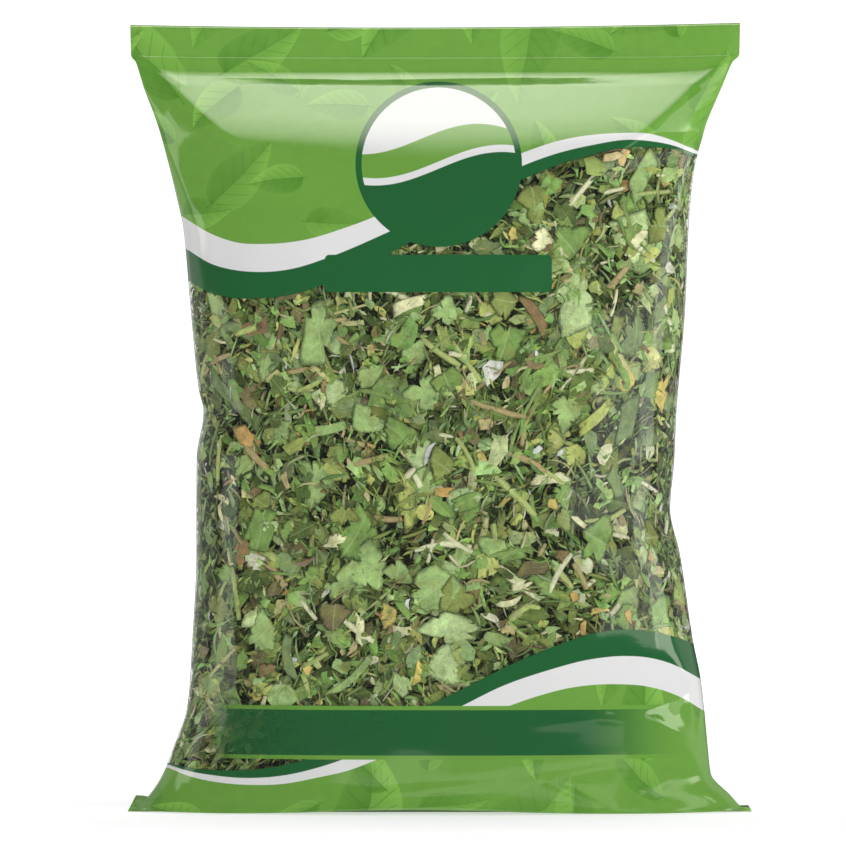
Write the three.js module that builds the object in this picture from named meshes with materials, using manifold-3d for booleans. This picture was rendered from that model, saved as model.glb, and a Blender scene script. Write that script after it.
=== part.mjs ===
// A sealed pillow bag of dried coriander leaf, standing on its folded bottom.
//
// Millimetres, +Z up, -Y is the printed front. The origin is on the floor under the middle of the bag.
// A film tube is closed by a flat heat seal at each end and a lap seam up its back. It holds a packed mass
// of crushed leaf, with the larger leaf fragments and cut stems lying between that mass and the film.

import * as THREE from "three";
import Module from "manifold-3d";
import { mergeVertices } from "three/addons/utils/BufferGeometryUtils.js";

const wasm = await Module();
wasm.setup();

// ---------- Driving dimensions ----------
const HEIGHT = 206; // floor to the top edge
const SEAL = 8.7; // height of each heat seal
const FILM = 0.45; // film as modelled, thicker than real film
const SLIT = 0.3; // between the two layers of film in a seal
const FOLD = 0.35; // more film than that along the two folded edges
const LAP_WIDTH = 10; // the seam up the back
const LAP_PROUD = 0.6;
const SEAM_Y = 4; // where the bottom seal leaves the underside, behind the middle
const FILL_TOP = 171; // height that the leaf reaches
const CORE_FOOT = 6; // height of the underside of the leaf mass's core
const CORE_INSET = 4.4; // from the film to that core
const LEAF = 0.7; // thickness of a leaf as modelled
const CLEAR = 0.35; // between separate pieces
const SEAL_HALF = FILM + SLIT / 2;

// ---------- The tube's shape ----------
// Each station is a loop of the film: z is its height, left and right its two folded edges, front and back
// its middle. wide and deep are the powers of its rounded section: deep near 1 is a lens, above 2 a pillow.
const STATIONS = [
  { z: 206, left: 80.4, right: 79.4, front: 0.6, back: 0.6, wide: 2, deep: 8 },
  { z: 197.6, left: 80.2, right: 79.2, front: 0.6, back: 0.6, wide: 2, deep: 8 },
  { z: 195, left: 79, right: 77.6, front: 2.3, back: 2, wide: 2, deep: 2.2 },
  { z: 189.5, left: 76.8, right: 74.4, front: 7.2, back: 6.4, wide: 2, deep: 1.5 },
  { z: 180, left: 73.2, right: 70.4, front: 13.6, back: 12.4, wide: 2, deep: 1.5 },
  { z: 168.5, left: 70, right: 67.4, front: 19, back: 17.5, wide: 2.1, deep: 1.65 },
  { z: 153, left: 66.5, right: 65.9, front: 23.5, back: 22, wide: 2.2, deep: 1.85 },
  { z: 132, left: 64.6, right: 65, front: 26.5, back: 25, wide: 2.3, deep: 2 },
  { z: 111, left: 62.5, right: 63.2, front: 28, back: 26.5, wide: 2.4, deep: 2.1 },
  { z: 105, left: 61.2, right: 62.7, front: 28.3, back: 26.8, wide: 2.4, deep: 2.1 },
  { z: 93, left: 63, right: 62.2, front: 28.8, back: 27.4, wide: 2.4, deep: 2.1 },
  { z: 79.5, left: 63.1, right: 61.1, front: 29, back: 27.8, wide: 2.4, deep: 2.1 },
  { z: 68, left: 63.1, right: 63.6, front: 29, back: 28, wide: 2.4, deep: 2.1 },
  { z: 45, left: 64.2, right: 66.8, front: 28, back: 27.4, wide: 2.4, deep: 2 },
  { z: 27.5, left: 65.6, right: 69.8, front: 26, back: 26, wide: 2.3, deep: 1.9 },
  { z: 17, left: 69.2, right: 71, front: 24.2, back: 24.6, wide: 2.2, deep: 1.7 },
  { z: 10, left: 71.9, right: 71.8, front: 22.6, back: 23.2, wide: 2.1, deep: 1.55 },
  { z: 4.5, left: 75.4, right: 76.8, front: 20.8, back: 21.4, wide: 2, deep: 1.45 },
  { z: 1, left: 79.4, right: 80.4, front: 19, back: 19.6, wide: 2, deep: 1.4 },
];
// The underside's loops close from the floor's edge to the bottom seal, which runs straight along SEAM_Y.
const UNDER_STATIONS = [
  { frontY: -17.6, frontZ: 0, backY: 18, backZ: 0 },
  { frontY: -8, frontZ: 0, backY: 15, backZ: 0.7 },
  { frontY: 1.5, frontZ: 0, backY: 10, backZ: 1.5 },
  { frontY: SEAM_Y - SEAL_HALF, frontZ: SEAL_HALF, backY: SEAM_Y + SEAL_HALF, backZ: SEAL_HALF },
];
const UNDER_FROM = 1.5; // length of film from the last station to the first of these
const UNDER_STEP = 9; // and from each of these to the next
const FOOT = { left: 81, right: 81.4, deep: 1.4 };
const EDGES_BEND_BELOW = 30; // height where the folded edges start to move back to SEAM_Y

// The bottom seal lies flat under the back half, and its two ends curl up behind the corners.
const CURL_FROM = 64;
const CURL_LEFT = 0.62; // radians at the left end
const CURL_RIGHT = 0.32;

// Soft creases: each runs between two points on the front or back, at (x, z), with a depth and a width.
const FRONT = -1;
const BACK = 1;
const CREASES = [
  { face: FRONT, from: [-78, 194], to: [-57, 169], depth: 1.5, width: 4.5 },
  { face: FRONT, from: [-57, 169], to: [-52, 140], depth: 0.8, width: 5 },
  { face: FRONT, from: [76, 193], to: [53, 171], depth: 1.7, width: 4.5 },
  { face: FRONT, from: [66, 178], to: [58, 150], depth: 1, width: 4.5 },
  { face: FRONT, from: [58, 34], to: [74, 12], depth: 1.4, width: 5 },
  { face: FRONT, from: [62, 45], to: [58, 20], depth: 0.9, width: 5 },
  { face: FRONT, from: [-56, 45], to: [-60, 10], depth: 1, width: 5 },
  { face: BACK, from: [-77, 194], to: [-50, 166], depth: 1.6, width: 5 },
  { face: BACK, from: [77, 194], to: [52, 168], depth: 1.6, width: 5 },
  { face: BACK, from: [-74, 8], to: [-50, 38], depth: 1.5, width: 5 },
  { face: BACK, from: [74, 8], to: [52, 36], depth: 1.5, width: 5 },
  { face: BACK, from: [-40, 120], to: [-50, 84], depth: 0.8, width: 6 },
];

// ---------- The loose pieces ----------
// Larger leaf fragments against the film: the face, the middle (x, z), width and height, turn and lobes.
const LEAF_PIECES = [
  { face: FRONT, at: [-33, 87], size: [12, 16], turn: 0.2, lobes: 3 },
  { face: FRONT, at: [-8, 83], size: [16, 18], turn: -0.5, lobes: 4 },
  { face: FRONT, at: [-2, 58], size: [13, 16], turn: 0.9, lobes: 3 },
  { face: FRONT, at: [3, 40], size: [14, 12], turn: -0.2, lobes: 3 },
  { face: FRONT, at: [37, 137], size: [13, 21], turn: 0.1, lobes: 4 },
  { face: FRONT, at: [-3, 110], size: [13, 12], turn: 0.6, lobes: 3 },
  { face: FRONT, at: [34, 106], size: [12, 11], turn: -0.7, lobes: 3 },
  { face: FRONT, at: [-21, 69], size: [11, 13], turn: 1.3, lobes: 3 },
  { face: FRONT, at: [-44, 121], size: [11, 13], turn: 0.4, lobes: 3 },
  { face: FRONT, at: [42, 72], size: [13, 11], turn: -1, lobes: 3 },
  { face: FRONT, at: [18, 124], size: [10, 12], turn: 0.3, lobes: 3 },
  { face: FRONT, at: [-46, 47], size: [12, 10], turn: 0.8, lobes: 3 },
  { face: BACK, at: [-36, 118], size: [14, 16], turn: 0.5, lobes: 3 },
  { face: BACK, at: [30, 96], size: [15, 13], turn: -0.4, lobes: 4 },
  { face: BACK, at: [-24, 58], size: [13, 15], turn: 1.1, lobes: 3 },
  { face: BACK, at: [38, 46], size: [12, 14], turn: 0.1, lobes: 3 },
];
// Cut stems against the film: the face, the two ends (x, z) and the diameter.
const STEM_PIECES = [
  { face: FRONT, from: [15, 66], to: [27, 56], across: 2.2 },
  { face: FRONT, from: [-27, 53], to: [-17, 45], across: 2 },
  { face: FRONT, from: [1, 71], to: [9, 70], across: 1.8 },
  { face: FRONT, from: [-50, 70], to: [-40, 60], across: 2.2 },
  { face: FRONT, from: [-4, 124], to: [6, 117], across: 1.8 },
  { face: FRONT, from: [25, 92], to: [34, 86], across: 2 },
  { face: FRONT, from: [-16, 138], to: [-5, 133], across: 1.8 },
  { face: FRONT, from: [46, 124], to: [52, 113], across: 2 },
  { face: FRONT, from: [-52, 98], to: [-45, 90], across: 1.8 },
  { face: BACK, from: [8, 128], to: [20, 120], across: 2.2 },
  { face: BACK, from: [-14, 92], to: [-9, 80], across: 2 },
  { face: BACK, from: [12, 66], to: [24, 60], across: 2 },
  { face: BACK, from: [-52, 84], to: [-46, 76], across: 1.8 },
  { face: BACK, from: [-44, 36], to: [-34, 30], across: 2 },
];

// The flakes that cover the leaf mass, in rows down it and in columns round it.
const FLAKE_ROW = 16.5;
const FLAKE_COLUMN = 19;
const FLAKE_SIZE = 20.5;
const FLAKE_CORNERS = 6;
const TOP_ROW = 8; // flakes within this of the top lie over its dome

// ---------- Meshing ----------
const HALF_STEPS = 17; // facets of the film on the front, and as many on the back
const CORE_STEPS = 7; // and of the leaf mass's core
const FINE_STEPS = 120; // points that those are evenly spaced along
const RING_COUNT = 22; // loops from the foot of the top seal to the floor

// Seeded random numbers, the same on every run.
function randomFrom(seed) {
  let state = seed >>> 0;
  return () => {
    state = (Math.imul(state, 1664525) + 1013904223) >>> 0;
    return state / 4294967296;
  };
}

// A cubic through the given values that never overshoots them (Fritsch and Carlson's).
function smoothThrough(xs, ys) {
  const last = xs.length - 1;
  const slopes = xs.slice(1).map((x, i) => (ys[i + 1] - ys[i]) / (x - xs[i]));
  const tangents = xs.map((_, i) => {
    const before = slopes[Math.max(0, i - 1)];
    const after = slopes[Math.min(last - 1, i)];
    if (before * after <= 0) return 0;
    return (2 * before * after) / (before + after);
  });
  return (x) => {
    let i = 0;
    while (i < last - 1 && x > xs[i + 1]) i++;
    const h = xs[i + 1] - xs[i];
    const t = (x - xs[i]) / h;
    const s = 1 - t;
    const level = ys[i] * (1 + 2 * t) * s * s + ys[i + 1] * t * t * (3 - 2 * t);
    return level + tangents[i] * h * t * s * s - tangents[i + 1] * h * t * t * s;
  };
}

// ---------- The tube ----------
// Every loop by its place d, the length of film from the top edge down to it.
const LOOPS = [
  ...STATIONS.map((s) => ({
    d: HEIGHT - s.z,
    left: s.left,
    right: s.right,
    edgeY: SEAM_Y * Math.max(0, 1 - s.z / EDGES_BEND_BELOW) ** 1.5,
    edgeZ: s.z,
    frontY: -s.front,
    frontZ: s.z,
    backY: s.back,
    backZ: s.z,
    wide: s.wide,
    deep: s.deep,
  })),
  ...UNDER_STATIONS.map((s, i) => ({
    ...s,
    ...FOOT,
    d: HEIGHT + UNDER_FROM + i * UNDER_STEP,
    edgeY: SEAM_Y,
    edgeZ: SEAL_HALF,
    wide: 2,
  })),
];
const D_SEAM = LOOPS[LOOPS.length - 1].d;
const profile = Object.fromEntries(
  Object.keys(LOOPS[0]).map((key) => [key, smoothThrough(LOOPS.map((s) => s.d), LOOPS.map((s) => s[key]))]),
);

// How far the creases push the film in at (x, z).
function creaseDepth(face, x, z) {
  return CREASES.filter((c) => c.face === face).reduce((sum, c) => {
    const [ax, az] = c.from;
    const dx = c.to[0] - ax;
    const dz = c.to[1] - az;
    const t = THREE.MathUtils.clamp(((x - ax) * dx + (z - az) * dz) / (dx * dx + dz * dz), 0, 1);
    const away = Math.hypot(x - ax - t * dx, z - az - t * dz);
    const fade = Math.sin(Math.PI * (0.12 + 0.76 * t));
    return sum + c.depth * fade * Math.exp(-((away / c.width) ** 2));
  }, 0);
}

// The way in from the middle of the front or back at d, as its Y and Z.
function inward(face, d) {
  const side = face === FRONT ? "front" : "back";
  const above = Math.max(0, d - 0.4);
  const below = Math.min(D_SEAM, d + 0.4);
  const dy = profile[`${side}Y`](below) - profile[`${side}Y`](above);
  const dz = profile[`${side}Z`](below) - profile[`${side}Z`](above);
  const length = Math.hypot(dy, dz);
  return [(dz * face) / length, (-dy * face) / length];
}

// The fine points of one face of the loop at d, from its starting folded edge to the other one.
function faceAt(face, d, inset) {
  const side = face === FRONT ? "front" : "back";
  const [inY, inZ] = inward(face, d);
  const middleY = profile[`${side}Y`](d) + inY * inset;
  const middleZ = profile[`${side}Z`](d) + inZ * inset;
  const edgeY = profile.edgeY(d);
  const edgeZ = profile.edgeZ(d);
  const edgeInset = inset > 0 ? inset + FOLD : 0;
  const left = profile.left(d) - edgeInset;
  const right = profile.right(d) - edgeInset;
  const wide = 2 / profile.wide(d);
  const deep = 2 / profile.deep(d);
  const creased = Math.min(1, Math.abs(middleY - edgeY) / 6);
  return Array.from({ length: FINE_STEPS + 1 }, (_, i) => {
    const angle = (Math.PI * i) / FINE_STEPS;
    const c = Math.cos(angle) * face;
    const s = Math.sin(angle);
    const x = Math.sign(c) * Math.abs(c) ** wide * (c < 0 ? left : right);
    const out = s < 1e-9 ? 0 : s ** deep;
    const y = edgeY + (middleY - edgeY) * out;
    const z = edgeZ + (middleZ - edgeZ) * Math.min(1, out * 1.6);
    const dent = creaseDepth(face, x, z) * creased * Math.min(1, out * 2);
    return new THREE.Vector3(x, y - face * dent, z);
  });
}

// Points evenly spaced along a fine line, without its end.
function evenly(line, count) {
  const along = [0];
  for (let i = 1; i < line.length; i++) along.push(along[i - 1] + line[i].distanceTo(line[i - 1]));
  const total = along[along.length - 1];
  let k = 0;
  return Array.from({ length: count }, (_, j) => {
    while (along[k + 1] < (total * j) / count) k++;
    return line[k].clone().lerp(line[k + 1], ((total * j) / count - along[k]) / (along[k + 1] - along[k]));
  });
}

// One loop of the tube at d, inset by a distance: the front from left to right, then the back.
function loopAt(d, inset = 0, halfSteps = HALF_STEPS) {
  return [FRONT, BACK].flatMap((face) => evenly(faceAt(face, d, inset), halfSteps));
}

function lengthRound(loop) {
  return loop.reduce((sum, p, i) => sum + p.distanceTo(loop[(i + 1) % loop.length]), 0);
}

// The point at a share, from 0 to 1, of the way round the loop at d.
function onTube(share, d, inset) {
  const loop = loopAt(d, inset);
  const place = THREE.MathUtils.euclideanModulo(share, 1) * loop.length;
  const i = Math.floor(place) % loop.length;
  return loop[i].clone().lerp(loop[(i + 1) % loop.length], place - Math.floor(place));
}

// The share of the way round where x falls on the front or back of the loop at d.
function shareAt(face, x, d) {
  const loop = loopAt(d);
  const first = face === FRONT ? 0 : HALF_STEPS;
  const from = (j) => loop[(first + j) % loop.length].x;
  const j = Array.from({ length: HALF_STEPS }, (_, i) => i).find((i) => (x - from(i)) * (x - from(i + 1)) <= 0);
  return (first + j + (x - from(j)) / (from(j + 1) - from(j))) / loop.length;
}

// ---------- Solids ----------
function toSolid(geometry) {
  const bare = geometry.clone();
  bare.deleteAttribute("normal");
  bare.deleteAttribute("uv");
  const merged = mergeVertices(bare, 1e-4);
  return new wasm.Manifold(
    new wasm.Mesh({
      numProp: 3,
      vertProperties: merged.attributes.position.array,
      triVerts: new Uint32Array(merged.index.array),
    }),
  );
}

function toGeometry(solid) {
  const mesh = solid.getMesh();
  const geometry = new THREE.BufferGeometry();
  geometry.setAttribute("position", new THREE.BufferAttribute(mesh.vertProperties, mesh.numProp));
  geometry.setIndex(new THREE.BufferAttribute(mesh.triVerts, 1));
  return geometry;
}

function solidOf(points, faces) {
  const geometry = new THREE.BufferGeometry().setFromPoints(points);
  geometry.setIndex(faces.flat());
  return toSolid(geometry);
}

// The largest body of a solid, without loose scraps and sealed hollows.
function largest(solid) {
  return solid.decompose().reduce((a, b) => (a.volume() > b.volume() ? a : b));
}

// A closed solid through loops of equal counts. Each end is capped by strips from its front to its back.
function loft(loops) {
  const count = loops[0].length;
  const faces = [];
  for (let r = 0; r + 1 < loops.length; r++)
    for (let j = 0; j < count; j++) {
      const a = r * count + j;
      const b = r * count + ((j + 1) % count);
      faces.push([a, a + count, b], [b, a + count, b + count]);
    }
  const cap = (start, turned) => {
    for (let j = 0; j < count / 2; j++) {
      const [a, b] = [j, j + 1];
      const [c, e] = [(count - j) % count, count - j - 1];
      for (const corners of [[a, b, c], [b, e, c]])
        if (new Set(corners).size === 3)
          faces.push((turned ? corners.toReversed() : corners).map((corner) => start + corner));
    }
  };
  cap(0, false);
  cap((loops.length - 1) * count, true);
  return solidOf(loops.flat(), faces);
}

// A closed solid between two grids of points, the upper and the lower, each across by along.
function slab(upper, lower, across, along) {
  const n = across * along;
  const faces = [];
  const quad = (a, b, c, d) => faces.push([a, b, c], [a, c, d]);
  for (let r = 0; r + 1 < along; r++)
    for (let j = 0; j + 1 < across; j++) {
      const a = r * across + j;
      quad(a, a + 1, a + across + 1, a + across);
      quad(n + a, n + a + across, n + a + across + 1, n + a + 1);
    }
  for (let r = 0; r + 1 < along; r++) {
    const a = r * across;
    const b = a + across - 1;
    quad(a, a + across, n + a + across, n + a);
    quad(b, n + b, n + b + across, b + across);
  }
  for (let j = 0; j + 1 < across; j++) {
    const b = (along - 1) * across + j;
    quad(j, n + j, n + j + 1, j + 1);
    quad(b, b + 1, n + b + 1, n + b);
  }
  return solidOf([...upper, ...lower], faces);
}

// ---------- The film ----------
// The places of the film's loops: closer together over the shoulder and the foot than on the body.
function ringPlaces() {
  const spread = smoothThrough([0, 0.12, 0.38, 0.8, 1], [8.4, 12.5, 52, 182, HEIGHT - 1]);
  const body = Array.from({ length: RING_COUNT }, (_, i) => spread(i / (RING_COUNT - 1)));
  return [0, ...body, ...UNDER_STATIONS.map((_, i) => HEIGHT + UNDER_FROM + i * UNDER_STEP)];
}

// A layer of the bottom seal, from one reach to another behind its seam, curling up towards its two ends.
function bottomSeal(halfThickness, from, to, endInset) {
  const steps = 24;
  const rows = 3;
  const upper = [];
  const lower = [];
  for (let r = 0; r <= rows; r++)
    for (let j = 0; j <= steps; j++) {
      const share = (2 * j) / steps - 1;
      const end = share < 0 ? FOOT.left : FOOT.right;
      const x = share * (end - endInset);
      const past = THREE.MathUtils.smoothstep(Math.abs(x), CURL_FROM, end);
      const curl = (x < 0 ? CURL_LEFT : CURL_RIGHT) * past;
      const reach = from + ((to - from) * r) / rows;
      const rise = Math.max(0, reach) * Math.sin(curl);
      const y = SEAM_Y + reach * Math.cos(curl);
      upper.push(new THREE.Vector3(x, y, SEAL_HALF + rise + halfThickness));
      lower.push(new THREE.Vector3(x, y, SEAL_HALF + rise - halfThickness));
    }
  return slab(upper, lower, steps + 1, rows + 1);
}

// The lap seam: a ribbon up the middle of the back, sunk into the film, from the foot to the top edge.
function lapSeam() {
  const rows = 16;
  const sunk = 0.25;
  const foot = 6;
  const upper = [];
  const lower = [];
  for (let r = 0; r <= rows; r++) {
    const d = ((HEIGHT - foot) * r) / rows;
    const [inY, inZ] = inward(BACK, d);
    const y = profile.backY(d);
    const z = HEIGHT - d;
    for (const x of [-LAP_WIDTH / 2, LAP_WIDTH / 2]) {
      upper.push(new THREE.Vector3(x, y - inY * LAP_PROUD, z - inZ * LAP_PROUD));
      lower.push(new THREE.Vector3(x, y + inY * sunk, z + inZ * sunk));
    }
  }
  return slab(upper, lower, 2, rows + 1);
}

// The space inside the tube, open at the top edge and ending in the slit of the bottom seal.
function filmInside() {
  const loops = ringPlaces().map((d) => loopAt(d, FILM));
  const mouth = loops[0].map((p) => p.clone().setZ(HEIGHT + 1));
  const seam = loopAt(D_SEAM).map((p) => {
    const y = SEAM_Y + THREE.MathUtils.clamp(p.y - SEAM_Y, -SLIT / 2, SLIT / 2);
    return new THREE.Vector3(p.x * (1 - (FILM + FOLD) / FOOT.left), y, SEAL_HALF);
  });
  const slit = bottomSeal(SLIT / 2, -SLIT / 3, SEAL + 1, FILM + FOLD);
  return loft([mouth, ...loops.slice(1, -1), seam]).add(slit);
}

function bagFilm() {
  const outside = loft(ringPlaces().map((d) => loopAt(d)));
  const strip = bottomSeal(SEAL_HALF, -1.5, SEAL, 0);
  return largest(outside.add(strip).add(lapSeam()).subtract(filmInside()));
}

// The room that the film leaves for the leaf.
function roomInside() {
  const places = ringPlaces().filter((d) => d > SEAL * 2 && d < HEIGHT);
  return loft(places.map((d) => loopAt(d, FILM + CLEAR)));
}

// ---------- The leaf ----------
const D_FILL = HEIGHT - FILL_TOP;
const D_FOOT = HEIGHT - CORE_FOOT;

// A torn leaf's outline round its middle: corners that reach out by turns far and near.
function raggedOutline(random, corners, width, height) {
  return Array.from({ length: corners }, (_, i) => {
    const angle = (2 * Math.PI * (i + 0.45 * random())) / corners;
    const reach = i % 2 ? 0.36 + 0.08 * random() : 0.46 + 0.08 * random();
    return [Math.cos(angle) * reach * width, Math.sin(angle) * reach * height];
  });
}

// A coriander leaflet's outline: lobes with a notch between them on one side, narrowing to a wedge.
function lobedOutline(lobes, width, height) {
  const rim = [];
  for (let i = 0; i < lobes; i++) {
    const middle = Math.PI * ((i + 0.5) / lobes) * 1.1 - 0.05 * Math.PI;
    const half = (0.4 * Math.PI) / lobes;
    for (const [turn, reach] of [[-1.25, 0.33], [-0.6, 0.47], [0, 0.52], [0.6, 0.47]])
      rim.push([Math.cos(middle + turn * half) * reach * width, Math.sin(middle + turn * half) * reach * height]);
  }
  return [...rim, [-0.34 * width, -0.1 * height], [-0.08 * width, -0.5 * height], [0.08 * width, -0.5 * height]];
}

// A blade that follows the tube: its outline laid round (share, d) and turned, its outer face at an inset
// that slopes down to one side, and its inner face a thickness further in.
function blade(outline, { share, d, turn, inset, slope = 0, thickness = LEAF }) {
  const round = lengthRound(loopAt(d, inset));
  const spot = (across, along, extra) => {
    const a = across * Math.cos(turn) - along * Math.sin(turn);
    const b = across * Math.sin(turn) + along * Math.cos(turn);
    return onTube(share + a / round, d + b, inset + Math.max(0, slope * across) + extra);
  };
  const n = outline.length;
  const face = (extra) => outline.map(([across, along]) => spot(across, along, extra));
  const flat = outline.map(([across, along]) => new THREE.Vector2(across, along));
  const faces = THREE.ShapeUtils.triangulateShape(flat, []).flatMap(([a, b, c]) => [
    [c, b, a],
    [n + a, n + b, n + c],
  ]);
  for (let i = 0; i < n; i++) {
    const j = (i + 1) % n;
    faces.push([i, j, n + j], [i, n + j, n + i]);
  }
  return solidOf([...face(0), ...face(thickness)], faces);
}

// The middle of the leaf mass, with a domed top and a flat foot.
function leafCore() {
  const dome = [[1, 15], [6, 7]].map(([down, inset]) => loopAt(D_FILL + down, inset, CORE_STEPS));
  const rows = 6;
  const sides = Array.from({ length: rows }, (_, i) => {
    const d = D_FILL + 14 + ((D_FOOT - D_FILL - 14) * i) / (rows - 1);
    return loopAt(d, CORE_INSET, CORE_STEPS);
  });
  return loft([...dome, ...sides]);
}

// The flakes all over the core: each sinks one side into it and stands out with the other.
function flakes() {
  const random = randomFrom(7);
  const all = [];
  for (let row = D_FILL + 4; row < D_FOOT; row += FLAKE_ROW) {
    const columns = Math.round(lengthRound(loopAt(row, CORE_INSET)) / FLAKE_COLUMN);
    for (let i = 0; i < columns; i++) {
      const size = FLAKE_SIZE * (0.8 + 0.4 * random());
      const outline = raggedOutline(random, FLAKE_CORNERS, size, size * (0.8 + 0.3 * random()));
      const d = Math.min(D_FOOT - 3, row + (random() - 0.5) * FLAKE_ROW * 0.6);
      const share = (i + 0.6 * random()) / columns + all.length * 0.003;
      const turn = random() * 2 * Math.PI;
      const inset = 1.3 + 1.3 * random();
      const overTop = { share, d, turn: turn / 6 - 0.65 * Math.PI, inset: inset + 2, slope: 1.1 };
      const onSide = { share, d, turn, inset, slope: 0.36 + 0.14 * random() };
      all.push(blade(outline, d < D_FILL + TOP_ROW ? overTop : onSide));
    }
  }
  return all;
}

// A leaf piece at its place, grown by a margin on every side.
function leafPiece({ face, at: [x, z], size: [width, height], turn, lobes }, margin = 0) {
  const outline = lobedOutline(lobes, width + 2 * margin, height + 2 * margin);
  const d = HEIGHT - z;
  const inset = FILM + 2 * CLEAR - margin;
  return blade(outline, { share: shareAt(face, x, d), d, turn, inset, thickness: LEAF + 2 * margin });
}

// A stem piece between its two ends, grown by a margin on every side.
function stemPiece({ face, from, to, across }, margin = 0) {
  const inset = FILM + 2 * CLEAR + across / 2;
  const points = [0, 0.5, 1].map((t) => {
    const x = from[0] + (to[0] - from[0]) * t;
    const d = HEIGHT - from[1] - (to[1] - from[1]) * t;
    return onTube(shareAt(face, x, d), d, inset);
  });
  const reach = points[2].clone().sub(points[0]).setLength(margin);
  points[0].sub(reach);
  points[2].add(reach);
  const section = new THREE.Shape();
  const sides = 6;
  for (let i = 0; i < sides; i++) {
    const angle = (2 * Math.PI * i) / sides;
    const corner = [Math.cos(angle) * (across / 2 + margin), Math.sin(angle) * (across / 2 + margin)];
    if (i === 0) section.moveTo(...corner);
    else section.lineTo(...corner);
  }
  section.closePath();
  const extrudePath = new THREE.CatmullRomCurve3(points);
  return toSolid(new THREE.ExtrudeGeometry(section, { steps: 4, extrudePath, bevelEnabled: false }));
}

// ---------- The assembly ----------
const FILM_LOOK = { color: 0x7fa95c, roughness: 0.15, metalness: 0 };
const FILL_LOOK = { color: 0x59683f, roughness: 0.9, metalness: 0 };
const LEAF_LOOK = { color: 0x7f9a66, roughness: 0.85, metalness: 0 };
const STEM_LOOK = { color: 0xbdb98d, roughness: 0.8, metalness: 0 };

function buildBag() {
  const bag = new THREE.Group();
  const place = (name, solid, look) => {
    const mesh = new THREE.Mesh(toGeometry(solid), new THREE.MeshStandardMaterial(look));
    mesh.name = name;
    bag.add(mesh);
  };
  place("bag_film", bagFilm(), FILM_LOOK);

  const room = roomInside();
  const number = (i) => String(i + 1).padStart(2, "0");
  let taken = wasm.Manifold.union(LEAF_PIECES.map((piece) => leafPiece(piece, CLEAR)));
  LEAF_PIECES.forEach((piece, i) => {
    place(`leaf_piece_${number(i)}`, largest(leafPiece(piece).intersect(room)), LEAF_LOOK);
  });
  STEM_PIECES.forEach((piece, i) => {
    place(`stem_piece_${number(i)}`, largest(stemPiece(piece).intersect(room).subtract(taken)), STEM_LOOK);
  });
  taken = taken.add(wasm.Manifold.union(STEM_PIECES.map((piece) => stemPiece(piece, CLEAR))));
  const fill = wasm.Manifold.union([leafCore(), ...flakes()]);
  place("leaf_fill", largest(fill.intersect(room).subtract(taken)), FILL_LOOK);
  return bag;
}

export default buildBag();
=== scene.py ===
"""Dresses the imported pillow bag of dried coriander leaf.

Shapes are worked out in millimetres on the film's own surface, by s, the length of film round the bag
from the front's middle, d, the length of film down from the top edge, and inset, the distance inside it.
"""

import math

import bpy
import numpy as np
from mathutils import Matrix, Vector


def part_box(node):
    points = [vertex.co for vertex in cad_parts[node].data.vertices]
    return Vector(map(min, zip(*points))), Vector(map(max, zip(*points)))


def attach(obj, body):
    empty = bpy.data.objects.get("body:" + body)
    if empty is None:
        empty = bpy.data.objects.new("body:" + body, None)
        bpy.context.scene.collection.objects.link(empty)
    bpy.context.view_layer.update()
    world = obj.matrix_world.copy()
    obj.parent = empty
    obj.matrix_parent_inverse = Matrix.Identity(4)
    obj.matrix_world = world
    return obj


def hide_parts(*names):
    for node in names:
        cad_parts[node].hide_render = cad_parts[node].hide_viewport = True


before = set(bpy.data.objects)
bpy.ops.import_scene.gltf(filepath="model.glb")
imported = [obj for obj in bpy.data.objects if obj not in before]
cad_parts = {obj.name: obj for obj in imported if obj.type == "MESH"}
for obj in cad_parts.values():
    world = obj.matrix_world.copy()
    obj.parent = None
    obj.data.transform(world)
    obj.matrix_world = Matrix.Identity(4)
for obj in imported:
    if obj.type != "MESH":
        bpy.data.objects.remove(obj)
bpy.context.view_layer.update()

bl_info = {
    "name": "Pillow Bag of Dried Leaf",
    "version": (1, 0, 0),
    "blender": (4, 5, 0),
    "location": "View3D > Sidebar > Leaf Bag",
    "description": "A printed film bag, its crushed leaf and stems, and the stage they stand on",
    "category": "Add Mesh",
}

MM = 0.001
FILM_LOW, FILM_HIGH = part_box("bag_film")
HEIGHT = round((FILM_HIGH.z - FILM_LOW.z) / MM, 1)
FULL_TURN = 2 * math.pi


def srgb(red, green, blue):
    """A display colour from 0 to 255 as the linear one that shaders take."""
    shares = [value / 255 for value in (red, green, blue)]
    return [s / 12.92 if s <= 0.04045 else ((s + 0.055) / 1.055) ** 2.4 for s in shares] + [1.0]


def ramp(value, low, high):
    """How far a value has come from low to high, from 0 to 1."""
    return np.clip((value - low) / (high - low), 0, 1)


def eased(share):
    """A share from 0 to 1 with a gentle start and end."""
    return share * share * (3 - 2 * share)


def signed_power(value, power):
    """The power of a value's size, with its sign."""
    return np.sign(value) * np.abs(value) ** power


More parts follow.
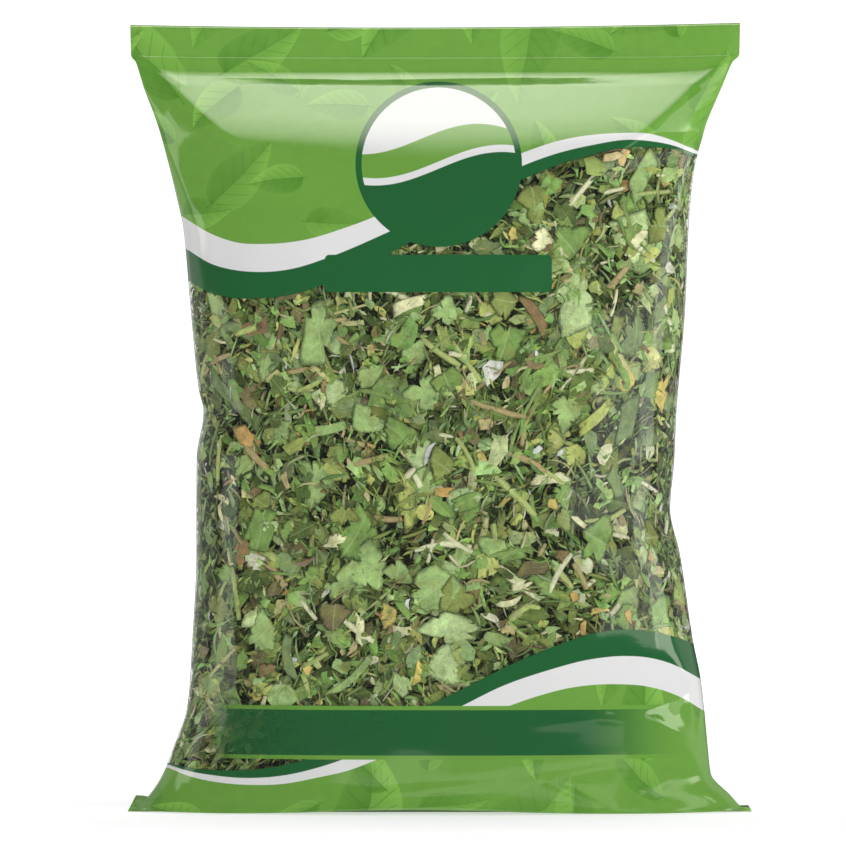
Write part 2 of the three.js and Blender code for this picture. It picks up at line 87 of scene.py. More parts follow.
# ---------- The tube of film ----------
# z of a loop of film, its two folded edges, its front and back middle, and the powers of its section.
STATIONS = [
    (HEIGHT, 80.4, 79.4, 0.6, 0.6, 2.0, 8.0),
    (198.1, 80.2, 79.2, 0.6, 0.6, 2.0, 8.0),
    (197.4, 80.1, 79.1, 0.95, 0.7, 2.0, 8.0),
    (194.6, 78.9, 77.4, 1.0, 0.9, 2.0, 7.0),
    (194.0, 78.7, 77.1, 1.2, 1.1, 2.0, 6.0),
    (190.0, 77.0, 74.7, 4.1, 3.8, 2.0, 4.0),
    (185.0, 75.0, 72.4, 7.7, 7.1, 2.0, 3.4),
    (180.0, 73.2, 70.4, 11.2, 10.4, 2.0, 3.0),
    (176.0, 72.0, 69.3, 13.7, 12.7, 2.0, 2.8),
    (173.0, 71.2, 68.4, 15.3, 14.2, 2.0, 2.6),
    (168.5, 70.0, 67.4, 17.4, 16.2, 2.1, 2.3),
    (161.0, 68.2, 66.5, 20.6, 19.2, 2.1, 2.0),
    (153.0, 66.5, 65.9, 23.3, 21.8, 2.2, 1.9),
    (132.0, 64.6, 65.0, 26.5, 25.0, 2.3, 2.0),
    (111.0, 62.5, 63.2, 28.0, 26.5, 2.4, 2.1),
    (105.0, 61.2, 62.7, 28.3, 26.8, 2.4, 2.1),
    (93.0, 63.0, 62.2, 28.8, 27.4, 2.4, 2.1),
    (79.5, 63.1, 61.1, 29.0, 27.8, 2.4, 2.1),
    (68.0, 63.1, 63.6, 29.0, 28.0, 2.4, 2.1),
    (45.0, 64.2, 67.1, 28.0, 27.4, 2.4, 2.0),
    (35.0, 64.8, 69.1, 27.1, 26.8, 2.35, 1.95),
    (27.5, 65.6, 70.0, 26.0, 26.0, 2.3, 1.9),
    (17.0, 69.2, 71.0, 24.2, 24.6, 2.2, 1.7),
    (10.0, 71.9, 71.8, 22.6, 23.2, 2.1, 1.55),
    (4.5, 75.4, 76.8, 20.8, 21.4, 2.0, 1.45),
    (1.0, 79.4, 80.4, 19.0, 19.6, 2.0, 1.4),
]
# Under the bag: y and z of the front's film and of the back's, as they close to the bottom seal, by how
# far past the foot they start and their step in d. Then the edges and powers of these loops.
UNDER = [(-17.6, 0.0, 18.0, 0.0), (-8.0, 0.0, 15.0, 0.7), (1.5, 0.0, 10.0, 1.5), (3.4, 0.6, 4.6, 0.6)]
UNDER_FROM, UNDER_STEP = 1.5, 9.0
FOOT_LEFT, FOOT_RIGHT, FOOT_WIDE, FOOT_DEEP = 81.2, 82.6, 2.0, 1.4
# The bottom seal: the y of its line, how far it reaches behind it and half its thickness, and the z
# under which the folded edges bend back to it.
SEAM_Y, SEAL, SEAL_HALF, EDGES_BEND_BELOW = 4.0, 8.7, 0.6, 30.0

# Where the shoulder's flat face ends and its two side facets start, as shares of the half width at z.
FACET_ENDS = [(150, 0.5), (166, 0.6), (173, 0.7), (178, 0.79), (184, 0.85), (190, 0.9), (194, 0.96)]
FACET_ENDS.append((HEIGHT, 0.97))
FACET_SHARE, FACET_ROUNDING = 0.75, 0.14
NO_FACET_BELOW, FACET_ABOVE = 156.0, 178.0

FRONT, BACK = -1, 1
# Folds in the film by face: x and z of both ends, depth and half width.
CREASES = {
    FRONT: [
        (-59, 166, -52, 140, 0.5, 5.0), (62, 166, 58, 146, 0.6, 5.0),
        (58, 34, 74, 12, 1.2, 4.5), (62, 45, 58, 20, 0.7, 5.0),
        (-56, 45, -60, 10, 0.8, 5.0),
    ],
    BACK: [
        (-74, 8, -50, 38, 1.5, 5.0), (74, 8, 52, 36, 1.5, 5.0),
        (-40, 120, -50, 84, 0.8, 6.0),
    ],
}
# Sharper ones, which only the film and what lies against it follow.
WRINKLES = {
    FRONT: [
        (-77, 193.2, -22, 191.9, 0.11, 0.36), (-26, 191.6, 34, 192.9, 0.1, 0.34),
        (30, 192.4, 75, 194.2, 0.11, 0.36), (-78.5, 197.4, -66.5, 190.4, -0.3, 0.6),
        (78.5, 197.6, 67, 190.6, -0.3, 0.6), (-74, 191, -66, 168, 0.14, 1.3),
        (-71, 184, -64, 156, -0.15, 1.8), (72, 190, 63, 163, 0.4, 1.2),
        (70, 182, 62, 158, -0.35, 1.6), (64, 14, 56, 5, 0.5, 1.6),
        (56, 12, 48, 3.5, 0.45, 1.8), (22, 8, 50, 13, 0.35, 1.8), (-14, 5, 20, 9, 0.3, 1.8),
        (-66, 20, -73, 6, 0.6, 2.0), (-58, 12, -30, 5, 0.4, 1.8),
        (58, 116, 62, 96, 0.4, 2.4), (-60, 112, -54, 96, 0.4, 2.6),
        (-62, 74, -56, 60, 0.4, 2.6), (61, 82, 54, 70, 0.5, 2.4),
        (22, 23.5, 45, 25.6, -0.3, 1.6), (40, 25.8, 58, 23.6, -0.35, 1.6),
        (56, 24, 66.5, 16, -0.4, 1.6), (65, 17.5, 75, 7, -0.45, 1.6),
    ],
    BACK: [
        (-60, 192.4, 64, 192.8, 0.2, 0.6), (-68, 170, -60, 140, 0.6, 2.4),
        (68, 168, 60, 140, 0.6, 2.4), (-9, 186, -12, 150, 0.4, 2.4),
        (9, 186, 13, 146, 0.4, 2.4), (-9, 14, -14, 44, 0.5, 2.4),
        (10, 12, 16, 46, 0.5, 2.4), (54, 108, 60, 86, 0.6, 2.6),
    ],
}
# The sharpest, V-shaped: a flat facet and its folds beside the right fold near the foot.
SHARP_FOLDS = {
    FRONT: [
        (67.5, 35, 67.5, 17, 1.1, 2.4), (54.5, 26, 68, 33, 0.8, 2.2),
        (54.5, 26, 68, 19, -1.0, 2.2), (59, 39.5, 68, 31, 0.7, 1.5),
        (57, 35, 68, 30, 0.5, 1.3), (64, 47, 68, 38, 0.7, 2.0), (68, 21, 75, 8, 0.9, 1.8),
        (-68, 26, -62, 33, 0.5, 1.5), (-70, 20, -66, 8, 0.6, 1.6), (28, 9, 42, 2, 0.5, 1.6),
        (47, 2, 58, 10, 0.6, 1.6),
    ],
}
ROUND_FOLD, SHARP_FOLD = 2, 1
# The part of half a sine wave that a fold's depth follows from end to end.
FOLD_WAVE = (0.12, 0.88)


def smooth_through(xs, ys, rounded=False):
    """The cubic through each pair of points whose slope at a point is the harmonic mean of the slopes
    on its two sides, so it never overshoots, or if rounded their mean weighted by the shorter side. Each
    column of ys is a curve of its own."""
    xs = np.asarray(xs, float)
    ys = np.asarray(ys, float)
    across = xs if ys.ndim == 1 else xs[:, None]
    slope = np.diff(ys, axis=0) / np.diff(across, axis=0)
    before = np.concatenate([slope[:1], slope])
    after = np.concatenate([slope, slope[-1:]])
    if rounded:
        gap = np.diff(xs)
        ahead, behind = np.concatenate([gap, gap[-1:]]), np.concatenate([gap[:1], gap])
        tangent = (before * ahead + after * behind) / (ahead + behind)
    else:
        same = before * after > 0
        tangent = np.where(same, 2 * before * after / np.where(same, before + after, 1), 0.0)

    def curve(x):
        x = np.clip(x, xs[0], xs[-1])
        i = np.clip(np.searchsorted(xs, x, "right") - 1, 0, len(xs) - 2)
        h = xs[i + 1] - xs[i]
        t = (x - xs[i]) / h
        if ys.ndim > 1:
            h, t = h[..., None], t[..., None]
        s = 1 - t
        level = ys[i] * (1 + 2 * t) * s * s + ys[i + 1] * t * t * (3 - 2 * t)
        return level + h * t * s * (tangent[i] * s - tangent[i + 1] * t)

    return curve


def loops_of_film():
    """The stations by d, as left, right, edge y and z, front y and z, back y and z, wide and deep."""
    places, rows = [], []
    for z, left, right, front, back, wide, deep in STATIONS:
        edge_y = SEAM_Y * max(0.0, 1 - z / EDGES_BEND_BELOW) ** 1.5
        places.append(HEIGHT - z)
        rows.append((left, right, edge_y, z, -front, z, back, z, wide, deep))
    for i, under in enumerate(UNDER):
        places.append(HEIGHT + UNDER_FROM + i * UNDER_STEP)
        rows.append((FOOT_LEFT, FOOT_RIGHT, SEAM_Y, SEAL_HALF, *under, FOOT_WIDE, FOOT_DEEP))
    return places, rows


LOOP_PLACES, LOOP_ROWS = loops_of_film()
D_SEAM = LOOP_PLACES[-1]
loop_profile = smooth_through(LOOP_PLACES, LOOP_ROWS)


def dents(folds, front, x, z, power=ROUND_FOLD):
    """How far folds push the film in: across its line each falls off as the exponential of a power of
    the distance, and along it as a sine."""
    total = np.zeros(np.shape(x))
    for face, rows in folds.items():
        for ax, az, bx, bz, depth, width in rows:
            dx, dz = bx - ax, bz - az
            t = np.clip(((x - ax) * dx + (z - az) * dz) / (dx * dx + dz * dz), 0, 1)
            away = np.hypot(x - ax - t * dx, z - az - t * dz)
            fade = np.sin(np.pi * (FOLD_WAVE[0] + (FOLD_WAVE[1] - FOLD_WAVE[0]) * t))
            dent = depth * fade * np.exp(-((away / width) ** power))
            total += np.where(front == (face == FRONT), dent, 0.0)
    return total


def crumple(x, y, z, wavelength, seed, waves=9):
    """Gentle lumps from -1 to 1: the mean of sine waves in random directions, of about one wavelength."""
    rng = np.random.default_rng(seed)
    total = np.zeros(np.shape(x))
    for _ in range(waves):
        way = rng.normal(size=3)
        way *= FULL_TURN / (wavelength * rng.uniform(0.7, 1.4) * np.linalg.norm(way))
        total += np.sin(way[0] * x + way[1] * y + way[2] * z + rng.uniform(0, FULL_TURN))
    return total / math.sqrt(waves)


# The step of d over which a face's slope is measured, and how much sooner film gets to the height of its
# face's middle than to its depth.
SLOPE_STEP, LEVELS_SOONER = 0.4, 1.6
# The top edge dips in the middle and rises to its corners.
TOP_BOW, TOP_LOWEST_X, TOP_SAG, TOP_LEVEL_BELOW = 1.5, -12.0, 0.4, 190.0
# The foot of the front is a little off the floor in the middle.
FOOT_LIFT, FOOT_LIFT_X, FOOT_LIFT_WIDTH, FOOT_LEVEL_ABOVE, FOOT_LIFT_Y = 1.3, -6.0, 34.0, 9.0, -18.0
# The shoulder's top edge runs up into the corners of the bag.
CORNER_LIFT, CORNER_LIFT_Z, CORNER_LIFT_TALL, CORNER_LIFT_POWER = 1.8, 194.0, 3.0, 12
# Lumps where the bag is full, up to its shoulder, and the depth of bag that dents take to be whole.
LUMP_DEPTH, LUMP_LENGTH, LUMP_SEED = 0.2, 19.0, 5
LUMPS_ABOVE, LUMPS_BELOW, NO_LUMPS_ABOVE = 8.0, 150.0, 172.0
DENT_ROOM = 6.0


def facets(z, share):
    """How far the shoulder stands out at that share of its half width: level as far as the facet's end,
    and from there straight down to the fold, with the corner rounded."""
    end = np.interp(z, *zip(*FACET_ENDS))
    slope = (1 - share) / (1 - end)
    blend = np.clip(0.5 + 0.5 * (1 - slope) / FACET_ROUNDING, 0, 1)
    return 1 + blend * (slope - 1) - FACET_ROUNDING * blend * (1 - blend)


def lift(x, y, z, edge_z, share):
    """How far the top edge, the foot's front and the shoulder's corners stand above their loop of film."""
    top = TOP_BOW * ((x - TOP_LOWEST_X) / 100) ** 2 - TOP_SAG
    top = top * ramp(edge_z, TOP_LEVEL_BELOW, HEIGHT)
    foot = FOOT_LIFT * np.exp(-(((x - FOOT_LIFT_X) / FOOT_LIFT_WIDTH) ** 2))
    foot = foot * ramp(z, FOOT_LEVEL_ABOVE, 0) * ramp(y, 0, FOOT_LIFT_Y)
    corner = CORNER_LIFT * share**CORNER_LIFT_POWER
    corner = corner * np.exp(-(((z - CORNER_LIFT_Z) / CORNER_LIFT_TALL) ** 2))
    return top + foot + corner


def tube(d, a, inset=0.0):
    """The point of film at d and at the angle a round the bag, which runs from the left fold by the
    front's middle. Across, it goes with the cosine to the power 2 / wide, and outward with the sine to
    the power 2 / deep, from the line between the folds to the middle of the face moved in by inset. Over
    the shoulder the facets take most of that curve's place."""
    d, a, inset = np.broadcast_arrays(*(np.asarray(value, float) for value in (d, a, inset)))
    loop = np.moveaxis(loop_profile(d), -1, 0)
    left, right, edge_y, edge_z, front_y, front_z, back_y, back_z, wide, deep = loop
    run = loop_profile(np.minimum(d + SLOPE_STEP, D_SEAM)) - loop_profile(np.maximum(d - SLOPE_STEP, 0))
    front = np.sin(a) >= 0
    face = np.where(front, FRONT, BACK)
    dy = np.where(front, run[..., 4], run[..., 6])
    dz = np.where(front, run[..., 5], run[..., 7])
    length = np.hypot(dy, dz)
    middle_y = np.where(front, front_y, back_y) + dz * face / length * inset
    middle_z = np.where(front, front_z, back_z) - dy * face / length * inset
    cosine, sine = -np.cos(a), np.abs(np.sin(a))
    half = np.where(cosine < 0, left, right) - inset
    share = np.abs(cosine) ** (2 / wide)
    x = np.sign(cosine) * share * half
    flat = FACET_SHARE * eased(ramp(edge_z, NO_FACET_BELOW, FACET_ABOVE))
    out = sine ** (2 / deep) * (1 - flat) + facets(edge_z, share) * flat
    y = edge_y + (middle_y - edge_y) * out
    z = edge_z + (middle_z - edge_z) * np.minimum(1, out * LEVELS_SOONER)
    filled = ramp(z, NO_LUMPS_ABOVE, LUMPS_BELOW) * ramp(z, 0, LUMPS_ABOVE)
    dent = LUMP_DEPTH * crumple(x, y * 0, z, LUMP_LENGTH, LUMP_SEED) * filled
    dent = dent + dents(CREASES, front, x, z) + dents(WRINKLES, front, x, z)
    dent = dent + dents(SHARP_FOLDS, front, x, z, SHARP_FOLD)
    room = np.minimum(1, np.abs(middle_y - edge_y) / DENT_ROOM) * np.minimum(1, out * 2)
    return np.stack([x, y - face * dent * room, z + lift(x, y, z, edge_z, share)], -1)


def lengths_round(points):
    """Length along a line of points from its first one."""
    steps = np.linalg.norm(np.diff(points, axis=-2), axis=-1)
    return np.concatenate([np.zeros((*steps.shape[:-1], 1)), np.cumsum(steps, -1)], -1)


# Lengths round the bag from the left fold, measured once at the bag's middle height.
FINE_ANGLES = np.linspace(0, FULL_TURN, 1441)
MIDDLE_Z = 90.0
FINE_LENGTHS = lengths_round(tube(HEIGHT - MIDDLE_Z, FINE_ANGLES))
ROUND = FINE_LENGTHS[-1]
FRONT_MIDDLE = np.interp(math.pi / 2, FINE_ANGLES, FINE_LENGTHS)
RIGHT_FOLD = np.interp(math.pi, FINE_ANGLES, FINE_LENGTHS)


def angle_at(s):
    """The angle round the bag at s millimetres of film from the front's middle, to the right."""
    return np.interp((s + FRONT_MIDDLE) % ROUND, FINE_LENGTHS, FINE_ANGLES)


def s_of(angle):
    """The s of film at an angle round the bag."""
    return np.interp(angle, FINE_ANGLES, FINE_LENGTHS) - FRONT_MIDDLE


def s_at(face, x, z):
    """The s of a point at x and z on the front or the back."""
    left, right, *_, wide, _ = np.moveaxis(loop_profile(np.asarray(HEIGHT - z, float)), -1, 0)
    half = np.where(np.asarray(x) < 0, left, right)
    angle = np.arccos(-np.sign(x) * np.clip(np.abs(x) / half, 0, 1) ** (wide / 2))
    return s_of(angle if face == FRONT else FULL_TURN - angle)


def round_gap(s, other):
    """How far s is from another one round the bag, the short way."""
    return (s - other + ROUND / 2) % ROUND - ROUND / 2


def film_point(s, d, inset):
    """The point at s, d and inset inside the bag."""
    return tube(d, angle_at(s), inset)


# ---------- Meshes ----------
def make_piece(name, points, faces, material, replaced, smooth=True):
    """A mesh of points in millimetres and of arrays of faces, each with one row of corners a face, that
    rides on the bag, takes the material given and stands for the replaced CAD nodes."""
    mesh = bpy.data.meshes.new(name)
    points = np.asarray(points, float).reshape(-1, 3)
    corners = np.concatenate([part.ravel() for part in faces])
    counts = np.concatenate([np.full(len(part), part.shape[1]) for part in faces])
    mesh.vertices.add(len(points))
    mesh.vertices.foreach_set("co", (points * MM).ravel())
    mesh.loops.add(len(corners))
    mesh.loops.foreach_set("vertex_index", corners)
    mesh.polygons.add(len(counts))
    mesh.polygons.foreach_set("loop_start", np.cumsum(counts) - counts)
    mesh.polygons.foreach_set("loop_total", counts)
    mesh.polygons.foreach_set("use_smooth", np.full(len(counts), smooth))
    mesh.update(calc_edges=True)
    if mesh.validate():
        raise RuntimeError(f"{name}: the mesh had broken faces")
    mesh.materials.append(material)
    piece = bpy.data.objects.new(name, mesh)
    bpy.context.scene.collection.objects.link(piece)
    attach(piece, "root")
    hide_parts(*replaced)
    return piece


def add_values(piece, name, values, kind="VECTOR"):
    """Stores one vector or one colour a vertex in the piece's mesh."""
    attribute = piece.data.attributes.new(name, f"FLOAT_{kind}", "POINT")
    attribute.data.foreach_set(kind.lower(), np.asarray(values, float).ravel())


def ring_quads(rows, columns):
    """Quads between the rows of a grid whose columns close into a ring."""
    row, column = np.meshgrid(np.arange(rows - 1), np.arange(columns), indexing="ij")
    here, below, following = row * columns, (row + 1) * columns, (column + 1) % columns
    corners = [here + column, here + following, below + following, below + column]
    return np.stack(corners, -1).reshape(-1, 4)


def bag_faces(rows, columns):
    """Faces of a tube whose rows go round the bag, with strips from its front half to its back half that
    close its first and its last row."""
    half = columns // 2
    j = np.arange(1, half - 1)
    strip = np.stack([j, j + 1, columns - j - 1, columns - j], -1)
    ends = np.array([[0, 1, columns - 1], [half - 1, half, half + 1]])
    last = (rows - 1) * columns
    sides = ring_quads(rows, columns)[:, [0, 3, 2, 1]]
    return [sides, strip, ends, last + strip[:, ::-1], last + ends[:, ::-1]]


def leaf_faces(count, corners, rings):
    """Triangles of flat closed leaves. Each has a middle point on its outer and its inner face, rings of
    corners on both, and one ring as the rim that they share."""
    k = np.arange(corners)
    following = (k + 1) % corners
    outer = [2 + i * corners for i in range(rings)]
    inner = [2 + (rings + i) * corners for i in range(rings - 1)] + [outer[-1]]
    one = []
    for middle, starts, flip in ((0, outer, 1), (1, inner, -1)):
        parts = [np.stack([np.full(corners, middle), starts[0] + following, starts[0] + k], -1)]
        for near, far in zip(starts, starts[1:]):
            parts.append(np.stack([near + k, near + following, far + k], -1))
            parts.append(np.stack([near + following, far + following, far + k], -1))
        one.append(np.concatenate(parts)[:, ::flip])
    one = np.concatenate(one)
    size = 2 + corners * (2 * rings - 1)
    return (one[None] + np.arange(count)[:, None, None] * size).reshape(-1, 3)


def tube_faces(count, rows, ring):
    """Faces of closed tubes of so many rows of rings: quads along them, and a fan over each end."""
    fan = np.stack([np.zeros(ring - 2, int), np.arange(2, ring), np.arange(1, ring - 1)], -1)
    ends = np.concatenate([fan, (rows - 1) * ring + fan[:, ::-1]])
    shift = np.arange(count)[:, None, None] * rows * ring
    return [(ring_quads(rows, ring)[None] + shift).reshape(-1, 4), (ends[None] + shift).reshape(-1, 3)]


# ---------- Materials ----------
class Nodes:
    """Builds one node tree in few words, a material's or the world's. A value given for a socket is set on
    it, and an output given for it is linked."""

    def __init__(self, name, owners=None):
        self.owner = (bpy.data.materials if owners is None else owners).new(name)
        self.owner.use_nodes = True
        self.tree = self.owner.node_tree
        self.tree.nodes.clear()

    def add(self, kind, inputs=None, **settings):
        node = self.tree.nodes.new("ShaderNode" + kind)
        for key, value in settings.items():
            setattr(node, key, value)
        for key, value in (inputs or {}).items():
            if isinstance(value, bpy.types.NodeSocket):
                self.tree.links.new(value, node.inputs[key])
            else:
                node.inputs[key].default_value = value
        return node

    def math(self, operation, first, *others):
        """One Math node for one or two values, and a chain of them for more."""
        for other in others or (0.0,):
            first = self.add("Math", {0: first, 1: other}, operation=operation).outputs[0]
        return first

    def times(self, *values):
        return self.math("MULTIPLY", *values)

    def plus(self, *values):
        return self.math("ADD", *values)

    def less(self, value, taken):
        return self.math("SUBTRACT", value, taken)

    def line(self, value, slope, level):
        """The value times the slope plus the level."""
        return self.add("Math", {0: value, 1: slope, 2: level}, operation="MULTIPLY_ADD").outputs[0]

    def vector(self, operation, a, b=(0, 0, 0)):
        node = self.add("VectorMath", {0: a, 1: b}, operation=operation)
        return node.outputs["Value" if operation == "LENGTH" else "Vector"]

    def split(self, vector):
        return self.add("SeparateXYZ", {0: vector}).outputs

    def join(self, x, y, z=0.0):
        return self.add("CombineXYZ", {0: x, 1: y, 2: z}).outputs[0]

    def place(self, name="Object"):
        return self.add("TexCoord").outputs[name]

    def millimetres(self):
        return self.vector("MULTIPLY", self.place(), (1 / MM, 1 / MM, 1 / MM))

    def attribute(self, name, output="Vector"):
        return self.add("Attribute", attribute_name=name).outputs[output]

    def remap(self, value, low, high, to_low=0.0, to_high=1.0, smooth=True):
        inputs = {"Value": value, "From Min": low, "From Max": high, "To Min": to_low, "To Max": to_high}
        kind = "SMOOTHSTEP" if smooth else "LINEAR"
        return self.add("MapRange", inputs, interpolation_type=kind).outputs["Result"]

    def printed(self, distance):
        """1 inside a printed edge and 0 outside it, from the distance inside, in millimetres."""
        return self.remap(distance, -INK_EDGE, INK_EDGE)

    def mix(self, factor, a, b, blend="MIX"):
        return self.add("Mix", {0: factor, 6: a, 7: b}, data_type="RGBA", blend_type=blend).outputs[2]

    def noise(self, vector, scale, detail=3.0, roughness=0.5):
        inputs = {"Vector": vector, "Scale": scale, "Detail": detail, "Roughness": roughness}
        return self.add("TexNoise", inputs).outputs["Fac"]

    def bump(self, height, strength, distance):
        return self.add("Bump", {"Height": height, "Strength": strength, "Distance": distance}).outputs[0]

    def finish(self, kind, inputs, output="OutputMaterial"):
        """Adds the last shader and the tree's output, and returns the material or world."""
        self.add(output, {"Surface": self.add(kind, inputs).outputs[0]})
        return self.owner


# ---------- The film's print ----------
# Edges of the printed bands on the front, as points (x, z): the upper three from the top down, and the
# lower three from the window down.
UPPER_EDGES = [
    [
        (-67.4, 156.5), (-58.8, 151.4), (-52.7, 149.3), (-44.3, 148.8), (-34.7, 149.8), (-22.7, 153.4),
        (3, 164.6), (22.1, 172.5), (31.5, 175.7), (40.4, 177.3), (48.3, 177.8), (55.6, 177.6),
        (61.4, 176), (68.3, 173.2),
    ],
    [
        (-66.1, 147.9), (-58.8, 143.6), (-52.7, 142), (-46.7, 141.5), (-37.8, 142.3), (-28.7, 145.1),
        (-13.3, 151.6), (4, 160), (22.1, 169.1), (31.5, 172.5), (40.4, 174.6), (49.5, 176), (55.6, 175.7),
        (61.4, 174.7), (68, 172.4),
    ],
    [
        (-65, 139.2), (-58.8, 136), (-53, 134.7), (-46.7, 134.6), (-40.6, 135.1), (-29.7, 138.1),
        (-13, 146), (4, 155.5), (21.8, 165.4), (31.5, 169.4), (37.5, 171.2), (46.4, 173.6), (52.4, 174.1),
        (61.4, 173.7), (68, 171.7),
    ],
]
LOWER_EDGES = [
    [
        (-70.3, 12.9), (-64.9, 11.8), (-58.8, 11.5), (-46.7, 11.9), (-34.7, 14.4), (-18, 21.4),
        (-1.9, 29), (7.5, 33.6), (19.4, 39.6), (31.4, 44.5), (40.2, 47.4), (49.4, 48.4), (55.5, 47.9),
        (61.3, 46.5), (67.1, 44.3),
    ],
    [
        (-70.3, 12.4), (-64.9, 11), (-58.8, 10.1), (-49.1, 9.5), (-40.7, 10.2), (-28.7, 13.2),
        (-11, 20.6), (7, 29), (16.3, 33.6), (28.3, 37.8), (40.3, 40.8), (49.4, 41.5), (55.5, 40.9),
        (61.3, 39.2), (69.2, 34.9),
    ],
    [
        (-70.3, 11.6), (-64.9, 9.7), (-55.9, 8.1), (-48, 7.7), (-40.7, 8), (-31.8, 9.7), (-22.7, 11.9),
        (-14.6, 15.1), (3, 22.5), (18.7, 28.7), (25.4, 31), (34.3, 33.3), (46.3, 34.2), (55.5, 33.3),
        (64.5, 30), (69.6, 26.8),
    ],
]
# The same on the back, where a wave of its own joins the front's at both folds. Seen from the front, so
# left is still left.
BACK_UPPER_EDGES = [
    [(-67, 156.5), (-40, 146), (-10, 141), (24, 150), (50, 166), (68, 173)],
    [(-66, 148), (-40, 139), (-10, 135), (24, 145), (50, 162.5), (68, 172.3)],
    [(-65, 139.3), (-40, 132), (-10, 130), (24, 141), (50, 160), (68, 171.6)],
]
BACK_LOWER_EDGES = [
    [(-70, 12.6), (-48, 18), (-20, 31), (14, 44), (44, 50), (68, 44)],
    [(-70, 12.1), (-48, 15.5), (-20, 26), (14, 38), (44, 42.5), (69, 34.7)],
    [(-70, 11.4), (-48, 13), (-20, 21), (14, 32), (44, 35), (70, 26.7)],
]
# The round badge, and the waves across it: height over its middle, how tall, how long and their shift.
BADGE_AT = (0.4, 169.7)
BADGE_RADIUS, BADGE_RIM = 21.7, 1.6
BADGE_WAVES = [(6.5, 4.0, 9.5, 0.5), (0.6, 4.4, 10.5, 0.0), (-1.3, 4.4, 10.5, 0.0)]
# The plate under it, by its middle, its half width and height and its corners' radius.
PLATE_AT = (0.3, 141.1)
PLATE_HALF = (29.5, 4.85)
PLATE_ROUND = 1.1
# The label band, by the x where its left end gets denser, its green fades in and its right end fades out.
LABEL_FROM, LABEL_DENSER, LABEL_OPAQUE = -58.0, -52.0, -32.0
LABEL_FADES = (36.0, 66.0)
LABEL_ENDS = (67.5, 64.0)
LABEL_TOP, LABEL_FOOT, LABEL_LINE = 28.7, 14.6, 1.1
INK_EDGE = 0.07
PRINT_IOR = 2.1
PRINT_SHINE = (0.97, 1, 0.82, 1)
FILM_COLUMNS = 360
# Rows of film: from which d on, and how many millimetres apart.
ROW_STEPS = [(0, 1.2), (6.0, 0.28), (16.0, 0.62), (46.0, 1.15), (HEIGHT - 26, 0.8)]
# Printed leaves: seed, how many tries to lay one, and the least and the greatest half length.
PRINTED_LEAVES = {"print_leaf_a": (3, 2500, 12.0, 16.5), "print_leaf_b": (4, 2500, 6.0, 9.5)}
# Half the length and half the width round a printed leaf that are its own, in its half lengths, how far
# apart leaves are, the value that says there is none and the one above which there is one.
LEAF_OVAL = (1.25, 0.8)
LEAF_APART = 1.1
NO_LEAF, LEAF_FROM = -5.0, -0.02


def band_heights(points):
    """Height of each point above the three upper edges, and below the three lower ones."""
    x, z = points[:, 0], points[:, 2]
    front = points[:, 1] < loop_profile(HEIGHT - z)[:, 2]

    def level(edge):
        return smooth_through(*zip(*edge), True)(x)

    def heights(fronts, backs):
        levels = [np.where(front, level(f), level(b)) for f, b in zip(fronts, backs)]
        return z[:, None] - np.stack(levels, -1)

    return heights(UPPER_EDGES, BACK_UPPER_EDGES), -heights(LOWER_EDGES, BACK_LOWER_EDGES)


def print_layout(seed, tries, shortest, longest):
    """Places, turns, half lengths and tones of printed leaves laid at random all over the film, each kept
    only where it is clear of those before it."""
    rng = np.random.default_rng(seed)
    laid = []
    for _ in range(tries):
        leaf = rng.uniform(0, 1, 5) * (ROUND, D_SEAM + 10, FULL_TURN, longest - shortest, 1)
        leaf += (0, -5, 0, shortest, 0)
        gaps = [math.hypot(round_gap(leaf[0], other[0]), leaf[1] - other[1]) for other in laid]
        if all(gap > LEAF_APART * (leaf[3] + other[3]) for gap, other in zip(gaps, laid)):
            laid.append(leaf)
    return laid


def print_coordinates(s, d, layout):
    """At each place the coordinates along and across the printed leaf whose oval it is in, in half
    lengths, and its tone from 0 to 1, or no leaf."""
    nearest = np.full(s.shape, np.inf)
    local = np.zeros((*s.shape, 3))
    for leaf_s, leaf_d, turn, half_length, tone in layout:
        ds = round_gap(s, leaf_s) / half_length
        dd = (d - leaf_d) / half_length
        u = ds * math.cos(turn) + dd * math.sin(turn)
        v = dd * math.cos(turn) - ds * math.sin(turn)
        away = np.hypot(u / LEAF_OVAL[0], v / LEAF_OVAL[1])
        own = np.stack([u, v, np.where(away < 1, tone, NO_LEAF)], -1)
        local = np.where((away < nearest)[..., None], own, local)
        nearest = np.minimum(nearest, away)
    return local


